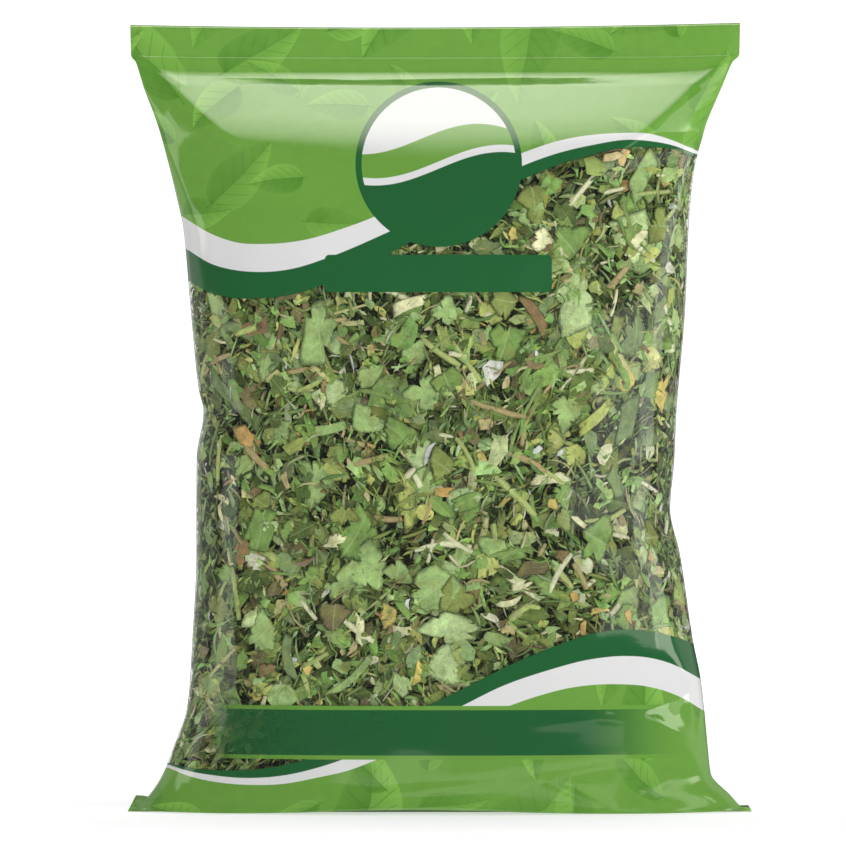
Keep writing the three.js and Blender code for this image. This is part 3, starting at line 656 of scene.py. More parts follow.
def leaf_motif(n, attribute, ground, light, dark):
    """One layer of printed leaves over a ground colour. A leaf is pointed at its tip and round at its base:
    its width is the root of the way from the base times the way to the tip. The half above the midrib is
    lighter toward its edge, and the half below darker toward the midrib. Thin dark veins slant off it, and
    a stalk stands at the base."""
    u, v, tone = n.split(n.attribute(attribute))
    there = n.math("GREATER_THAN", tone, LEAF_FROM)
    strength = n.remap(tone, 0, 1, 0.45, 1.0, False)
    from_base = n.math("MAXIMUM", n.plus(u, 1.0), 0.0)
    to_tip = n.math("MAXIMUM", n.less(1.0, u), 0.0)
    width = n.times(n.math("SQRT", from_base), to_tip, 0.48)
    bent = n.line(n.times(u, u), 0.05, v)
    side = n.math("ABSOLUTE", bent)
    inside = n.times(n.remap(n.less(width, side), 0.0, 0.03), there)
    across = n.math("DIVIDE", side, n.math("MAXIMUM", width, 0.02))
    lit = n.remap(bent, -0.012, 0.012)
    bright = n.times(n.remap(across, 0, 0.9, 0.3, 1.0), n.remap(u, -1.0, 0.8, 0.45, 0.9), lit, strength)
    dim = n.times(n.remap(across, 1.0, 0.0, 0.55, 1.0, False), n.remap(u, -0.9, 0.9, 1.0, 0.3))
    dim = n.times(dim, n.less(1.0, lit), strength)
    colour = n.mix(n.times(bright, inside), ground, light)
    colour = n.mix(n.times(dim, inside), colour, dark)
    comb = n.math("PINGPONG", n.times(n.line(side, -1.1, u), 3.0), 0.5)
    veins = n.times(n.remap(comb, 0.085, 0.01), n.remap(across, 0.92, 0.7), inside, 0.65)
    midrib = n.times(n.remap(side, 0.02, 0.006), inside, 0.7)
    colour = n.mix(n.times(n.math("MAXIMUM", midrib, veins), strength), colour, dark)
    along = n.remap(n.math("ABSOLUTE", n.plus(u, 1.02)), 0.16, 0.12)
    stalk = n.times(n.remap(side, 0.03, 0.012), along, there, 0.5)
    return n.mix(stalk, colour, dark)


def printed_bands(n, space, z, settings):
    """The colour of the bands above and below the window, and how much ink there is."""
    dark, white, light = list(settings.dark_green), list(settings.white), list(settings.leaf_light)
    motif = list(settings.green)
    for attribute in PRINTED_LEAVES:
        motif = leaf_motif(n, attribute, motif, light, list(settings.leaf_dark))
    motif = n.mix(n.remap(n.noise(space, 0.35, 2.0), 0.3, 0.7, 0.0, 0.08), motif, light)

    def bands(inner, middle, outer):
        colour = n.mix(n.printed(middle), dark, white)
        return n.mix(n.printed(outer), colour, motif), n.printed(inner)

    first, second, third = n.split(n.attribute("upper_bands"))
    upper, upper_ink = bands(third, second, first)
    lower, lower_ink = bands(*n.split(n.attribute("lower_bands")))
    colour = n.mix(n.math("GREATER_THAN", z, HEIGHT / 2), lower, upper)
    return colour, n.math("MAXIMUM", upper_ink, lower_ink)


def printed_label(n, x, z, front, settings):
    """Where the label band is, its colour and its ink, which is thin at its left end."""
    green, dark = list(settings.green), list(settings.dark_green)
    height = n.math("MINIMUM", n.less(LABEL_TOP, z), n.less(z, LABEL_FOOT))
    ends = n.times(n.printed(n.less(x, LABEL_FROM)), n.remap(x, *LABEL_ENDS))
    label = n.times(n.printed(height), front, ends)
    middle = n.mix(n.remap(x, *LABEL_FADES), dark, green)
    colour = n.mix(n.printed(n.less(height, LABEL_LINE)), green, middle)
    thin = n.remap(x, LABEL_FROM, LABEL_DENSER, 0.3, 0.75)
    dense = n.remap(x, LABEL_DENSER, LABEL_OPAQUE, 0.0, 0.22)
    return label, colour, n.times(label, n.plus(thin, dense))


def printed_badge(n, flat, front, settings):
    """Where the round badge is, and its colour: a dark rim round white, a green wave and a dark foot."""
    green, dark, white = list(settings.green), list(settings.dark_green), list(settings.white)
    place = n.vector("SUBTRACT", flat, (*BADGE_AT, 0))
    away = n.vector("LENGTH", place)
    across, up, _ = n.split(place)

    def above_wave(level, tall, long, shift):
        wave = n.math("SINE", n.line(across, 1 / long, shift))
        return n.printed(n.less(up, n.line(wave, tall, level)))

    over_first, over_second, over_third = (above_wave(*wave) for wave in BADGE_WAVES)
    emblem = n.mix(over_first, n.mix(over_second, n.mix(over_third, dark, white), green), white)
    disc = n.printed(n.less(BADGE_RADIUS - BADGE_RIM, away))
    return n.times(n.printed(n.less(BADGE_RADIUS, away)), front), n.mix(disc, dark, emblem)


def printed_plate(n, flat, front):
    """Where the plate with its rounded corners is."""
    corner = n.vector("ABSOLUTE", n.vector("SUBTRACT", flat, (*PLATE_AT, 0)))
    straight = (PLATE_HALF[0] - PLATE_ROUND, PLATE_HALF[1] - PLATE_ROUND, 0)
    beyond = n.vector("MAXIMUM", n.vector("SUBTRACT", corner, straight), (0, 0, 0))
    return n.times(n.printed(n.less(PLATE_ROUND, n.vector("LENGTH", beyond))), front)


def film_material(settings):
    """Clear glossy film that is printed where the bands, the badge, the plate and the label band are."""
    n = Nodes("printed_film")
    space = n.millimetres()
    x, y, z = n.split(space)
    flat, front = n.join(x, z), n.math("LESS_THAN", y, 0.0)
    colour, ink = printed_bands(n, space, z, settings)
    label, label_colour, label_ink = printed_label(n, x, z, front, settings)
    badge, badge_colour = printed_badge(n, flat, front, settings)
    plate = printed_plate(n, flat, front)
    colour = n.mix(label, colour, label_colour)
    colour = n.mix(badge, colour, badge_colour)
    colour = n.mix(plate, colour, list(settings.dark_green))
    ink = n.math("MAXIMUM", ink, label_ink, badge, plate)

    rough = settings.roughness
    gloss = n.remap(n.noise(space, 0.05, 2.0), 0.35, 0.7, rough * 0.8, rough * 1.6)
    ripple = n.plus(n.times(n.noise(space, 0.9, 2.0), 0.12), n.noise(space, 0.09, 2.0))
    normal = n.bump(ripple, 0.5, settings.ripple * MM)
    finish = {"Roughness": gloss, "Normal": normal}
    printed = {"Base Color": colour, "IOR": PRINT_IOR, "Specular Tint": PRINT_SHINE, **finish}
    printed = n.add("BsdfPrincipled", printed)
    facing = n.add("LayerWeight", {"Blend": 0.5, "Normal": normal}).outputs["Facing"]
    fresnel = n.line(n.math("POWER", facing, 5.0), 0.92, settings.reflection)
    clear = n.add("BsdfTransparent", {"Color": (0.97, 0.98, 0.97, 1)})
    shine = n.add("BsdfGlossy", {"Color": (0.94, 1, 0.88, 1), **finish})
    haze = n.add("BsdfDiffuse", {"Color": (0.9, 0.92, 0.9, 1), "Normal": normal})
    hazy = n.add("MixShader", {0: settings.haze, 1: clear.outputs[0], 2: haze.outputs[0]})
    window = n.add("MixShader", {0: fresnel, 1: hazy.outputs[0], 2: shine.outputs[0]})
    return n.finish("MixShader", {0: ink, 1: window.outputs[0], 2: printed.outputs[0]})


def film_rows():
    """The places d of the film's rows, close together at the seal, the shoulder and the bag's foot."""
    starts = [start for start, _ in ROW_STEPS] + [D_SEAM]
    runs = [np.arange(start, end - step / 2, step) for (start, step), end in zip(ROW_STEPS, starts[1:])]
    return np.concatenate([*runs, [D_SEAM]])


def even_angles(columns):
    """Angles of so many columns evenly spaced round the bag from the left fold, with one on each fold."""
    half = columns // 2
    front = np.linspace(0, RIGHT_FOLD, half, endpoint=False)
    back = np.linspace(RIGHT_FOLD, ROUND, half, endpoint=False)
    return np.interp(np.concatenate([front, back]), FINE_LENGTHS, FINE_ANGLES)


def film_grid():
    """The closed tube of film as a grid of points, and each column's length round the bag from the
    front's middle, scaled so that every row has the same flat width."""
    d = film_rows()[:, None]
    points = tube(d, even_angles(FILM_COLUMNS)[None, :])
    lengths = lengths_round(np.concatenate([points, points[:, :1]], 1))
    lengths *= ROUND / lengths[:, -1:]
    middle = lengths[:, [FILM_COLUMNS // 4]]
    return points, (lengths - middle)[:, :-1], d


# The lap seam: how wide it is, how far it stands out and sinks in, and where it ends over the floor.
LAP_WIDTH, LAP_PROUD, LAP_SUNK, LAP_FOOT = 10.0, 0.6, 0.25, 6.0
# Its free edge's wave, how long that is and the d where it is whole, and the seam's own slow wander.
LAP_WAVE, LAP_WAVE_LONG, LAP_WAVE_WHOLE = 0.35, 11, 20
LAP_WANDER, LAP_WANDER_LONG = 0.4, 37
# The bottom seal: how far it starts before its line, where its ends curl up, by what angle, and their cut.
SEAL_BEFORE = 1.5
CURL_FROM, CURL_LEFT, CURL_RIGHT = 64.0, 0.34, 0.02
CUT_SLANT = 0.5


def oval(corners, across_power, high_power):
    """A flat profile as its shares across and up, nearly a rectangle where the powers are low."""
    turn = np.linspace(0, FULL_TURN, corners, endpoint=False)[None, :]
    return signed_power(np.cos(turn), across_power), signed_power(np.sin(turn), high_power)


def lap_seam_points():
    """A flat ribbon carried down the middle of the back, whose free edge waves a little."""
    d = np.linspace(0, HEIGHT - LAP_FOOT, 160)[:, None]
    side, rise = oval(20, 0.35, 0.6)
    inset = (LAP_SUNK - LAP_PROUD) / 2 - rise * (LAP_SUNK + LAP_PROUD) / 2
    wave = LAP_WAVE * np.sin(d / LAP_WAVE_LONG) * (side > 0) * (rise > 0) * ramp(d, 0, LAP_WAVE_WHOLE)
    s = s_at(BACK, 0.0, MIDDLE_Z) - side * LAP_WIDTH / 2 + LAP_WANDER * np.sin(d / LAP_WANDER_LONG)
    return film_point(s, d, inset - np.maximum(wave, 0)), s, d


def bottom_seal_points():
    """The flat seal behind the underside, as a rectangle carried along x. Past CURL_FROM its reach is
    turned up by an angle that grows to the curl at each end, and the ends are cut at a slant."""
    share = np.linspace(-1, 1, 121)[:, None]
    end = np.where(share < 0, FOOT_LEFT, FOOT_RIGHT)
    x = share * end
    past = ramp(np.abs(x), CURL_FROM, end)
    curl = np.where(x < 0, CURL_LEFT, CURL_RIGHT) * eased(past)
    side, rise = oval(32, 0.25, 0.25)
    reach = (SEAL - SEAL_BEFORE) / 2 + (SEAL + SEAL_BEFORE) / 2 * side
    y = SEAM_Y + np.where(reach > 0, reach * np.cos(curl), reach)
    z = SEAL_HALF + np.maximum(reach, 0) * np.sin(curl) + SEAL_HALF * rise
    return np.stack(np.broadcast_arrays(x - np.sign(x) * past * CUT_SLANT * z, y, z), -1)


def film_piece(name, points, faces, material, s, d):
    """A piece of film, and what its print reads at each point: how high it is in the bands, and where it
    is on the printed leaves."""
    piece = make_piece(name, points, faces, material, ["bag_film"])
    upper, lower = band_heights(points.reshape(-1, 3))
    add_values(piece, "upper_bands", upper)
    add_values(piece, "lower_bands", lower)
    s, d = (np.broadcast_to(value, points.shape[:2]).ravel() for value in (s, d))
    for leaf, laying in PRINTED_LEAVES.items():
        add_values(piece, leaf, print_coordinates(s, d, print_layout(*laying)))
    return piece


def build_film(settings):
    """The tube of film, its lap seam and its bottom seal, each a piece of its own in one print."""
    material = film_material(settings)
    points, *place = film_grid()
    film = film_piece("film_tube", points, bag_faces(*points.shape[:2]), material, *place)
    points, *place = lap_seam_points()
    film_piece("lap_seam", points, tube_faces(1, *points.shape[:2]), material, *place)
    points = bottom_seal_points()
    place = points[..., 0], HEIGHT + points[..., 1]
    film_piece("bottom_seal", points, tube_faces(1, *points.shape[:2]), material, *place)


# ---------- The leaf ----------
# z of the top of the fill, of the core's top and of its foot, and how far inside the film the core is.
FILL_TOP, CORE_TOP, CORE_FOOT, CORE_INSET = 176.0, 175.0, 6.0, 5.6
D_FILL, D_FOOT = HEIGHT - FILL_TOP, HEIGHT - CORE_FOOT
# Painted light and shade: how bright leaf is by its depth inside the film, how fast each colour goes with
# it, and the brightest.
PAINTED_SHADE_BY_DEPTH = [(0.6, 1.2), (1.6, 0.8), (3.0, 0.25), (5.6, 0.055)]
PAINTED_SHADE_TINT = (1.0, 0.93, 1.25)
PALEST = 0.72
# What share of the places on the back is kept, and the share of the way round that is the front's half.
BACK_KEPT, FRONT_REACH = 0.45, 0.29
# The d that leaf never lies above.
LEAF_HIGHEST_D = 20
# How close to the film leaf is pressed at the folds, and from how far off that starts.
FOLD_PRESS, FOLD_PRESS_FROM = 0.3, 9.0
# Where along a leaf its bend and its curl are nothing, as the square of the way from its middle.
LEVEL_AT = 0.3
# What each kind of piece adds to the seed.
BIT_SEED, FRAGMENT_SEED, LARGE_SEED, STEM_SEED, THREAD_SEED = 0, 20, 40, 60, 80
# Patches of coarser leaf, and patches that lie one way: how long, their seed and how far leaf turns.
COARSE_LENGTH, COARSE_SEED = 40, 31
LIE_LENGTH, LIE_SEED, LIE_TURN = 70, 32, 1.2
# Colours, each with how common it is.
LEAF_COLOURS = {
    "sage": (srgb(168, 198, 125), 16),
    "pale sage": (srgb(198, 222, 158), 6),
    "mid green": (srgb(134, 169, 88), 24),
    "olive": (srgb(144, 160, 84), 15),
    "dark green": (srgb(88, 108, 50), 14),
    "grey green": (srgb(132, 155, 103), 10),
    "brown grey": (srgb(130, 120, 84), 4.5),
    "cream": (srgb(248, 246, 197), 2),
    "yellow green": (srgb(196, 206, 114), 4.5),
    "tan": (srgb(208, 190, 138), 2.5),
    "brown": (srgb(146, 118, 83), 1.2),
    "yellow": (srgb(234, 210, 120), 0.5),
    "amber": (srgb(218, 178, 110), 0.6),
}
STEM_COLOURS = {
    "cream": (srgb(250, 248, 204), 5),
    "straw": (srgb(222, 218, 151), 5),
    "green straw": (srgb(200, 214, 132), 8),
    "green": (srgb(154, 182, 103), 6),
    "tan": (srgb(204, 184, 131), 4),
    "brown": (srgb(140, 112, 77), 1.5),
}
THREAD_COLOURS = {
    **LEAF_COLOURS,
    "stalk straw": (srgb(206, 202, 150), 9),
    "stalk green": (srgb(150, 168, 104), 14),
}
LARGE_NAMES = ("sage", "pale sage", "mid green", "olive", "yellow green")
LARGE_COLOURS = {name: LEAF_COLOURS[name] for name in LARGE_NAMES}
# Larger leaves against the film: face, middle x and z, width and height, how far they lean, and colour.
LEAF_PIECES = [
    (FRONT, -33, 87, 12, 20, 0.05, "sage"), (FRONT, -8, 83, 11, 17, -0.1, "yellow green"),
    (FRONT, -2, 58, 13, 16, 0.9, "sage"), (FRONT, 3, 40, 15, 13, -0.2, "pale sage"),
    (FRONT, 37, 137, 13, 23, 0.1, "pale sage"), (FRONT, -3, 110, 13, 14, 0.6, "sage"),
    (FRONT, 34, 106, 12, 11, -0.7, "sage"), (FRONT, -21, 74, 12, 17, 0.5, "mid green"),
    (FRONT, -44, 121, 11, 13, 0.4, "sage"), (FRONT, 42, 72, 13, 11, -1.0, "mid green"),
    (FRONT, 18, 124, 10, 12, 0.3, "mid green"), (FRONT, -46, 47, 12, 10, 0.8, "sage"),
    (BACK, -36, 118, 14, 16, 0.5, "sage"), (BACK, 30, 96, 15, 13, -0.4, "mid green"),
    (BACK, -24, 58, 13, 15, 1.1, "sage"), (BACK, 38, 46, 12, 14, 0.1, "pale sage"),
]
# Others on the front, by colour: middle x and z, width, length and how far they lean to the right.
LAID_LEAVES = {
    "grey green": [
        (-49, 124, 3.6, 20, -0.98), (-53, 107, 4.4, 25, -0.82), (50, 103, 6, 13, 0.1),
        (-39, 41, 3, 13, -0.1), (52, 125, 8, 13, 0.1), (-55, 22, 4, 17, 0.05), (47, 87, 4.5, 10, -0.6),
        (-46, 46, 6, 8, 0.4),
    ],
    "sage": [
        (-58, 133, 7, 9, 0.1), (-31, 126, 12, 18, -0.1), (-28, 101, 3, 12, 1.35), (-19, 103, 9, 11, -0.6),
        (-6, 120.5, 8, 8, 0.4), (-24, 60, 11, 13, 0.2), (-10.5, 63, 7, 7, 0.3), (54.5, 167, 6, 13, 0.5),
        (2, 131, 9, 8, 0.3), (-22, 36.5, 2.4, 16, 0.83),
    ],
    "pale sage": [
        (-4, 94, 14, 13, 0.5), (3, 48.5, 14, 10, 0.1), (-9.5, 34, 4.6, 8, -0.5), (55, 71, 7, 11, 0.1),
        (57, 137, 5, 5, 0.2),
    ],
    "mid green": [
        (-46, 76, 13, 15, 0.2), (3, 112, 11, 9, -0.4), (23, 113, 5, 9.5, 0.4), (33, 84, 9, 7, 0.4),
        (20, 68, 5, 10, 1.3), (-35, 33, 6, 11, 1.2), (-57, 42, 4.5, 10, 0.3), (8, 128, 4, 8, 1.2),
        (8, 82, 5, 9, 1.1), (45, 57, 5, 8, 1.3), (-51, 40, 5, 7, 0.5),
    ],
    "dark green": [
        (-36, 74, 6, 9, 1.1), (-50, 61, 8, 11, 0.4), (57, 128, 5, 8, 0.1), (-24, 113, 5, 6, 0.3),
        (-20, 32, 4, 7, 1.3), (14, 88, 5, 8, 0.9),
    ],
    "olive": [
        (-50, 116, 7, 12, -1.1), (4, 57, 9, 9, 0.5), (27, 161, 5, 16, 0.4), (16, 126, 3, 6, 1.2),
        (10, 123, 4, 9, -1.1), (47, 124, 3.6, 17, 0.05), (-25, 106, 6, 9, 1.2),
    ],
    "yellow green": [
        (42, 104, 3.4, 15, 0.88), (32, 99, 9, 9, 0.2), (36, 94.5, 8, 8, 0.4), (48, 157.5, 4.2, 6, -0.6),
        (-46, 33, 6, 6, 0.2), (62, 134, 4.5, 10, 0.3), (-59, 33, 6, 7, 0.3),
    ],
    "cream": [
        (-7.5, 133, 3.4, 11, 1.22), (0, 115, 2.2, 6, -0.15), (-30, 108, 2.6, 5, 0.25),
        (29.5, 88, 3.4, 10, 1.5), (-20.5, 49, 2.6, 8.5, -0.05), (-57, 82.5, 1.8, 5, -1.2),
        (-57, 79, 1.8, 5, -0.2), (-54, 87.5, 2.2, 3.4, -0.6), (22, 60, 5, 9, 1.2),
        (19, 55.5, 2.2, 6, 1.4), (37.5, 76.5, 1.8, 5, -0.8), (53.5, 150.5, 3.4, 8, 0.85),
        (27.5, 150, 6.5, 6.5, 0), (-27, 71.5, 4, 8, 1.5),
    ],
    "yellow": [
        (59, 109, 6.5, 11, 0.2), (-13.5, 52.5, 6.5, 8, 0.3), (30, 81.5, 3.2, 3.8, -0.5),
        (12, 92.5, 2.4, 6, -0.5), (-5, 37, 2.2, 6.5, 0.2), (-34, 38, 3, 4, 0), (20, 151.5, 3.4, 3.6, 0),
        (43, 53.5, 2, 5, 1.4),
    ],
    "amber": [
        (-50, 98.5, 4.6, 11, -0.85), (-18, 96, 3, 3, 0), (52, 55, 4, 4, 0), (50.5, 52, 3, 4, 0),
        (38.5, 48.5, 1.8, 4, 0), (36, 57, 3, 3, 0),
    ],
    "tan": [
        (-49, 67, 3.4, 7, 0.5), (19, 48.5, 4.8, 4.6, 0), (46, 172, 2.6, 5.5, 1.3), (53, 137.5, 3, 4, 0.6),
        (-22.5, 43.5, 2.4, 4.6, 0.3), (-40, 87, 2.4, 5, -0.2), (13, 102, 4.5, 5, 0),
    ],
    "brown": [
        (26, 130, 3.6, 13, -0.56), (33, 67.5, 4, 5, 0.8), (65, 170.5, 3.4, 4, 0), (-45, 38, 4, 6.5, 1.3),
        (-48, 84, 3, 4, 0),
    ],
    "brown grey": [
        (-27, 52.5, 8, 10, 0.1), (25, 64.5, 4, 9, 1.5), (-43, 59, 4, 7, 0.3),
    ],
}
# Cut stems against the film: face, x and z of both ends, diameter and colour.
STEM_PIECES = [
    (FRONT, 15, 66, 27, 56, 2.2, "cream"), (FRONT, -27, 53, -17, 45, 2.0, "cream"),
    (FRONT, 1, 71, 9, 70, 1.8, "cream"), (FRONT, -50, 70, -40, 60, 2.2, "tan"),
    (FRONT, -4, 124, 6, 117, 1.8, "green straw"), (FRONT, 25, 92, 34, 86, 2.0, "green straw"),
    (FRONT, -16, 138, -5, 133, 1.8, "cream"), (FRONT, 46, 124, 52, 113, 2.0, "straw"),
    (FRONT, -52, 98, -45, 90, 1.8, "tan"), (BACK, 8, 128, 20, 120, 2.2, "cream"),
    (BACK, -14, 92, -9, 80, 2.0, "straw"), (BACK, 12, 66, 24, 60, 2.0, "tan"),
    (BACK, -52, 84, -46, 76, 1.8, "straw"), (BACK, -44, 36, -34, 30, 2.0, "cream"),
]
# Other stems on the front, by colour: x and z of both ends, and diameter.
LAID_STEMS = {
    "cream": [
        (1.5, 73.5, 9, 68.5, 1.5), (-1, 72, -2.5, 66, 1.1), (3, 120.5, 8, 119.5, 1.4),
        (34, 115.5, 41, 116, 1.4), (43, 168.5, 35, 159, 1.5), (31, 155, 33, 146, 0.8),
        (44, 162.5, 50, 164, 1.3), (-36, 56, -32, 51, 1.2), (47.5, 137, 46, 130, 1.0),
        (45, 73.5, 50.5, 72.3, 1.3), (-59, 124, -56, 123, 0.9), (58, 167, 60.5, 167, 0.8),
    ],
    "green straw": [
        (-46.5, 69.5, -30.5, 58, 2.8), (12.5, 91, 26, 78.5, 2.2), (-20, 117, -10, 107, 2.8),
        (39, 76.6, 43, 77, 1.2), (44, 76, 49.5, 79.5, 1.4), (24.5, 55, 19, 51, 1.9),
        (31, 65, 36, 59, 2.1), (54.5, 158, 56, 153.5, 1.5), (-57, 99, -58.5, 87, 1.4),
        (4, 123.5, 11.5, 113, 1.6), (5, 99, 10, 90, 1.4), (-37, 110.5, -31, 113, 1.3),
        (63, 158, 60, 155, 1.2), (52, 162, 63, 163, 1.2),
    ],
    "tan": [
        (-37, 128.8, -24, 129, 1.4), (54, 149, 46, 137, 2.0), (7, 108.5, 23, 103.5, 1.8),
        (18, 95, 29, 90, 2.0), (-22, 91.5, -12, 94, 1.9), (-1, 84, -3.5, 76, 1.4),
        (-59, 120, -57, 115, 1.0),
    ],
    "green": [
        (28, 114, 21, 101, 1.1), (21, 101, 19, 95, 1.1), (1, 65.5, 24, 69.5, 1.4),
        (-26, 107.5, -18, 112, 1.0), (20, 118, 33, 121, 0.9), (30, 116.5, 41, 112, 1.6),
        (43, 110, 50, 110, 0.8), (-44, 63.2, -36, 62.8, 0.9), (-15, 31, -11, 37, 0.9),
        (-2, 121, 5, 126, 1.1), (60, 140, 64, 144, 0.9), (49, 160, 52, 150, 1.3),
    ],
}


def drawn_colours(rng, palette, count, spread=0.24):
    """Random colours from a palette by weight, each a little lighter or darker than its own."""
    colours = np.array([colour for colour, _ in palette.values()])
    weights = np.array([weight for _, weight in palette.values()], float)
    picked = colours[rng.choice(len(colours), count, p=weights / weights.sum())]
    picked[:, :3] *= np.exp(rng.normal(0, spread, (count, 1)))
    picked[:, :3] *= np.exp(rng.normal(0, spread / 4, (count, 3)))
    return np.clip(picked, 0, 1)


def drawn_places(rng, count):
    """Random places s and d on the sides of the leaf mass, denser on the front, where the film is clear."""
    s = rng.uniform(-ROUND / 2, ROUND / 2, count * 3)
    d = rng.uniform(D_FILL, D_FOOT, count * 3)
    seen = np.where(np.abs(s) < ROUND * FRONT_REACH, 1.0, BACK_KEPT)
    kept = np.flatnonzero(rng.uniform(size=count * 3) < seen)[:count]
    return s[kept], d[kept]


def pressed(s, inset):
    """The inset of leaf near the two folds, which is pressed closer to the film than on the faces."""
    folds = (-FRONT_MIDDLE, RIGHT_FOLD - FRONT_MIDDLE)
    away = np.minimum(*(np.abs(round_gap(s, fold)) for fold in folds))
    return inset * (FOLD_PRESS + (1 - FOLD_PRESS) * ramp(away, 0, FOLD_PRESS_FROM))


def shaded(colours, inset):
    """Colours with painted shade: darker the deeper their leaf lies among the others, and a little painted
    light nearest the film.
    """
    shade = np.interp(inset, *zip(*PAINTED_SHADE_BY_DEPTH))[:, None]
    return np.concatenate([np.minimum(colours[:, :3] * shade**PAINTED_SHADE_TINT, PALEST), colours[:, 3:]], 1)


def drift(s, d, length, seed):
    """A value that changes slowly over the leaf mass, from about -1 to 1, on patches of that length."""
    turn = s / ROUND * FULL_TURN
    return crumple(np.cos(turn) * ROUND / 6, np.sin(turn) * ROUND / 6, d, length, seed)


def coarseness(s, d):
    """Which places have coarser leaf, from about -1 to 1."""
    return drift(s, d, COARSE_LENGTH, COARSE_SEED)


def lie(s, d):
    """The angle that leaf lies at from place to place, roughly."""
    return LIE_TURN * drift(s, d, LIE_LENGTH, LIE_SEED)


def torn_reach(rng, angles, facing, nearest, least):
    """Distances from the middle of a leaf, at angles round it, to the nearest of its straight tears, which
    lie at random distances in the directions facing."""
    count, sides = facing.shape
    reach = rng.uniform(nearest, 1.0, (count, 1, sides))
    toward = np.cos(angles[:, :, None] - facing[:, None, :])
    return (reach / np.maximum(toward, least)).min(-1)


def torn_rims(rng, count, corners, sides, raggedness):
    """Angles and distances from the middle of a torn leaf's corners: straight tears in random directions,
    less a random notch at each corner."""
    angles = (np.arange(corners) + rng.uniform(-0.3, 0.3, (count, corners))) * FULL_TURN / corners
    facing = (np.arange(sides) + rng.uniform(-0.35, 0.35, (count, sides))) * FULL_TURN / sides
    facing += rng.uniform(0, FULL_TURN, (count, 1))
    rims = np.minimum(torn_reach(rng, angles, facing, 0.5, 0.15), 1.1)
    return angles, np.clip(rims - raggedness * rng.uniform(size=(count, corners)) ** 2, 0.2, 1.1)


def serrated_rims(rng, count, corners, notches):
    """The same for larger leaves: straight tears, some narrow notches, each a Gaussian of the angle, and a
    run of small teeth."""
    angles = np.linspace(-math.pi, math.pi, corners, endpoint=False)[None, :] + np.zeros((count, 1))
    sides = 5
    facing = (np.arange(sides) + rng.uniform(-0.42, 0.42, (count, sides))) * FULL_TURN / sides
    reach = rng.uniform(0.55, 1.0, (count, 1, sides))
    toward = np.cos(angles[:, :, None] - facing[:, None, :] - rng.uniform(0, FULL_TURN, (count, 1, 1)))
    rims = np.minimum((reach / np.maximum(toward, 0.15)).min(-1), 1.3)
    for _ in range(notches):
        at = rng.uniform(-math.pi, math.pi, (count, 1))
        away = (angles - at + math.pi) % FULL_TURN - math.pi
        depth = rng.uniform(0.05, 0.42, (count, 1))
        rims -= depth * np.exp(-((away / rng.uniform(0.07, 0.2, (count, 1))) ** 2))
    toothed = np.clip(np.cos(angles - rng.uniform(0, FULL_TURN, (count, 1))) + 0.5, 0, 1)
    teeth = np.abs((angles * rng.integers(7, 12, (count, 1)) / math.pi) % 1 - 0.5) * 0.2 * toothed
    return angles, np.clip(rims - teeth + rng.normal(0, 0.014, rims.shape), 0.22, 1.3)


def blade_rims(rng, angles):
    """The same for blades and chips: two long straight sides, and two ends cut at a slant."""
    count = len(angles)
    facing = np.arange(4) * math.pi / 2 + rng.uniform(-1, 1, (count, 4)) * (0.14, 0.45, 0.14, 0.45)
    rims = np.minimum(torn_reach(rng, angles, facing, 0.74, 0.1), 1.4)
    return rims - 0.09 * rng.uniform(size=rims.shape) ** 3


def laid_out(s, d, a, b, turn):
    """The s and d of points at a and b beside s and d, with their axes turned, kept inside the bag."""
    cosine, sine = np.cos(turn), np.sin(turn)
    return s + a * cosine - b * sine, np.clip(d + a * sine + b * cosine, LEAF_HIGHEST_D, D_SEAM - 1)


def leaves(
    s, d, size, turn, angles, rims, inset, tilt, curl, fold, sway, thickness, least, rings, rng, rough
):
    """Leaves laid on the tube. A leaf's rim is given in polar form, and its inner rings are that rim drawn
    in. It bends sideways by its sway times the square of the way along. A point's inset is the leaf's own,
    plus its tilt times the way across and along, plus curl times the square of the way along, plus fold
    times the way out from the midrib, plus a random part. It is never less than least, so what would
    stand out of the film lies flat against it."""
    count, corners = rims.shape
    shares = np.arange(1, rings + 1) / rings

    def on_rings(direction):
        """The middle's zero and the points of every ring, one row a leaf."""
        ringed = direction[:, None, :] * rims[:, None, :] * shares[None, :, None]
        return np.concatenate([np.zeros((count, 1)), ringed.reshape(count, -1)], 1)

    across, along = on_rings(np.cos(angles)), on_rings(np.sin(angles))
    bumps = rng.normal(0, 1, across.shape) * rough * size.max(1)[:, None]
    half_width, half_length = size[:, [0]] / 2, size[:, [1]] / 2
    bow = (along**2 - LEVEL_AT) * half_length
    a = across * half_width + sway[:, None] * bow
    b = along * half_length
    depth = inset[:, None] + tilt[:, [0]] * a + tilt[:, [1]] * b + curl[:, None] * bow
    depth = depth + fold[:, None] * np.abs(across) * half_width + bumps
    share = np.concatenate([[0.0], np.repeat(shares, corners)])[None, :]
    half = thickness[:, None] / 2 * (1 - share**2)
    depth = np.maximum(depth, least[:, None] + half)
    outer, inner = np.arange(1, 1 + corners * rings), np.arange(1, 1 + corners * (rings - 1))
    order = np.concatenate([[0, 0], outer, inner])
    side = np.concatenate([[-1, 1], np.full(len(outer), -1), np.full(len(inner), 1)])
    place_s, place_d = laid_out(s[:, None], d[:, None], a, b, turn[:, None])
    points = film_point(place_s[:, order], place_d[:, order], depth[:, order] + side * half[:, order])
    return points, leaf_faces(count, corners, rings), np.stack([across[:, order], along[:, order]], -1)


def finish_leaves(piece, local, colours, veins):
    """Stores each leaf's colour, and its own coordinates with how strongly its veins show."""
    count, each = local.shape[:2]
    add_values(piece, "tint", np.repeat(colours, each, 0), "COLOR")
    strength = np.broadcast_to(np.reshape(veins, (-1, 1, 1)), (count, each, 1))
    add_values(piece, "blade", np.concatenate([local, strength], -1))


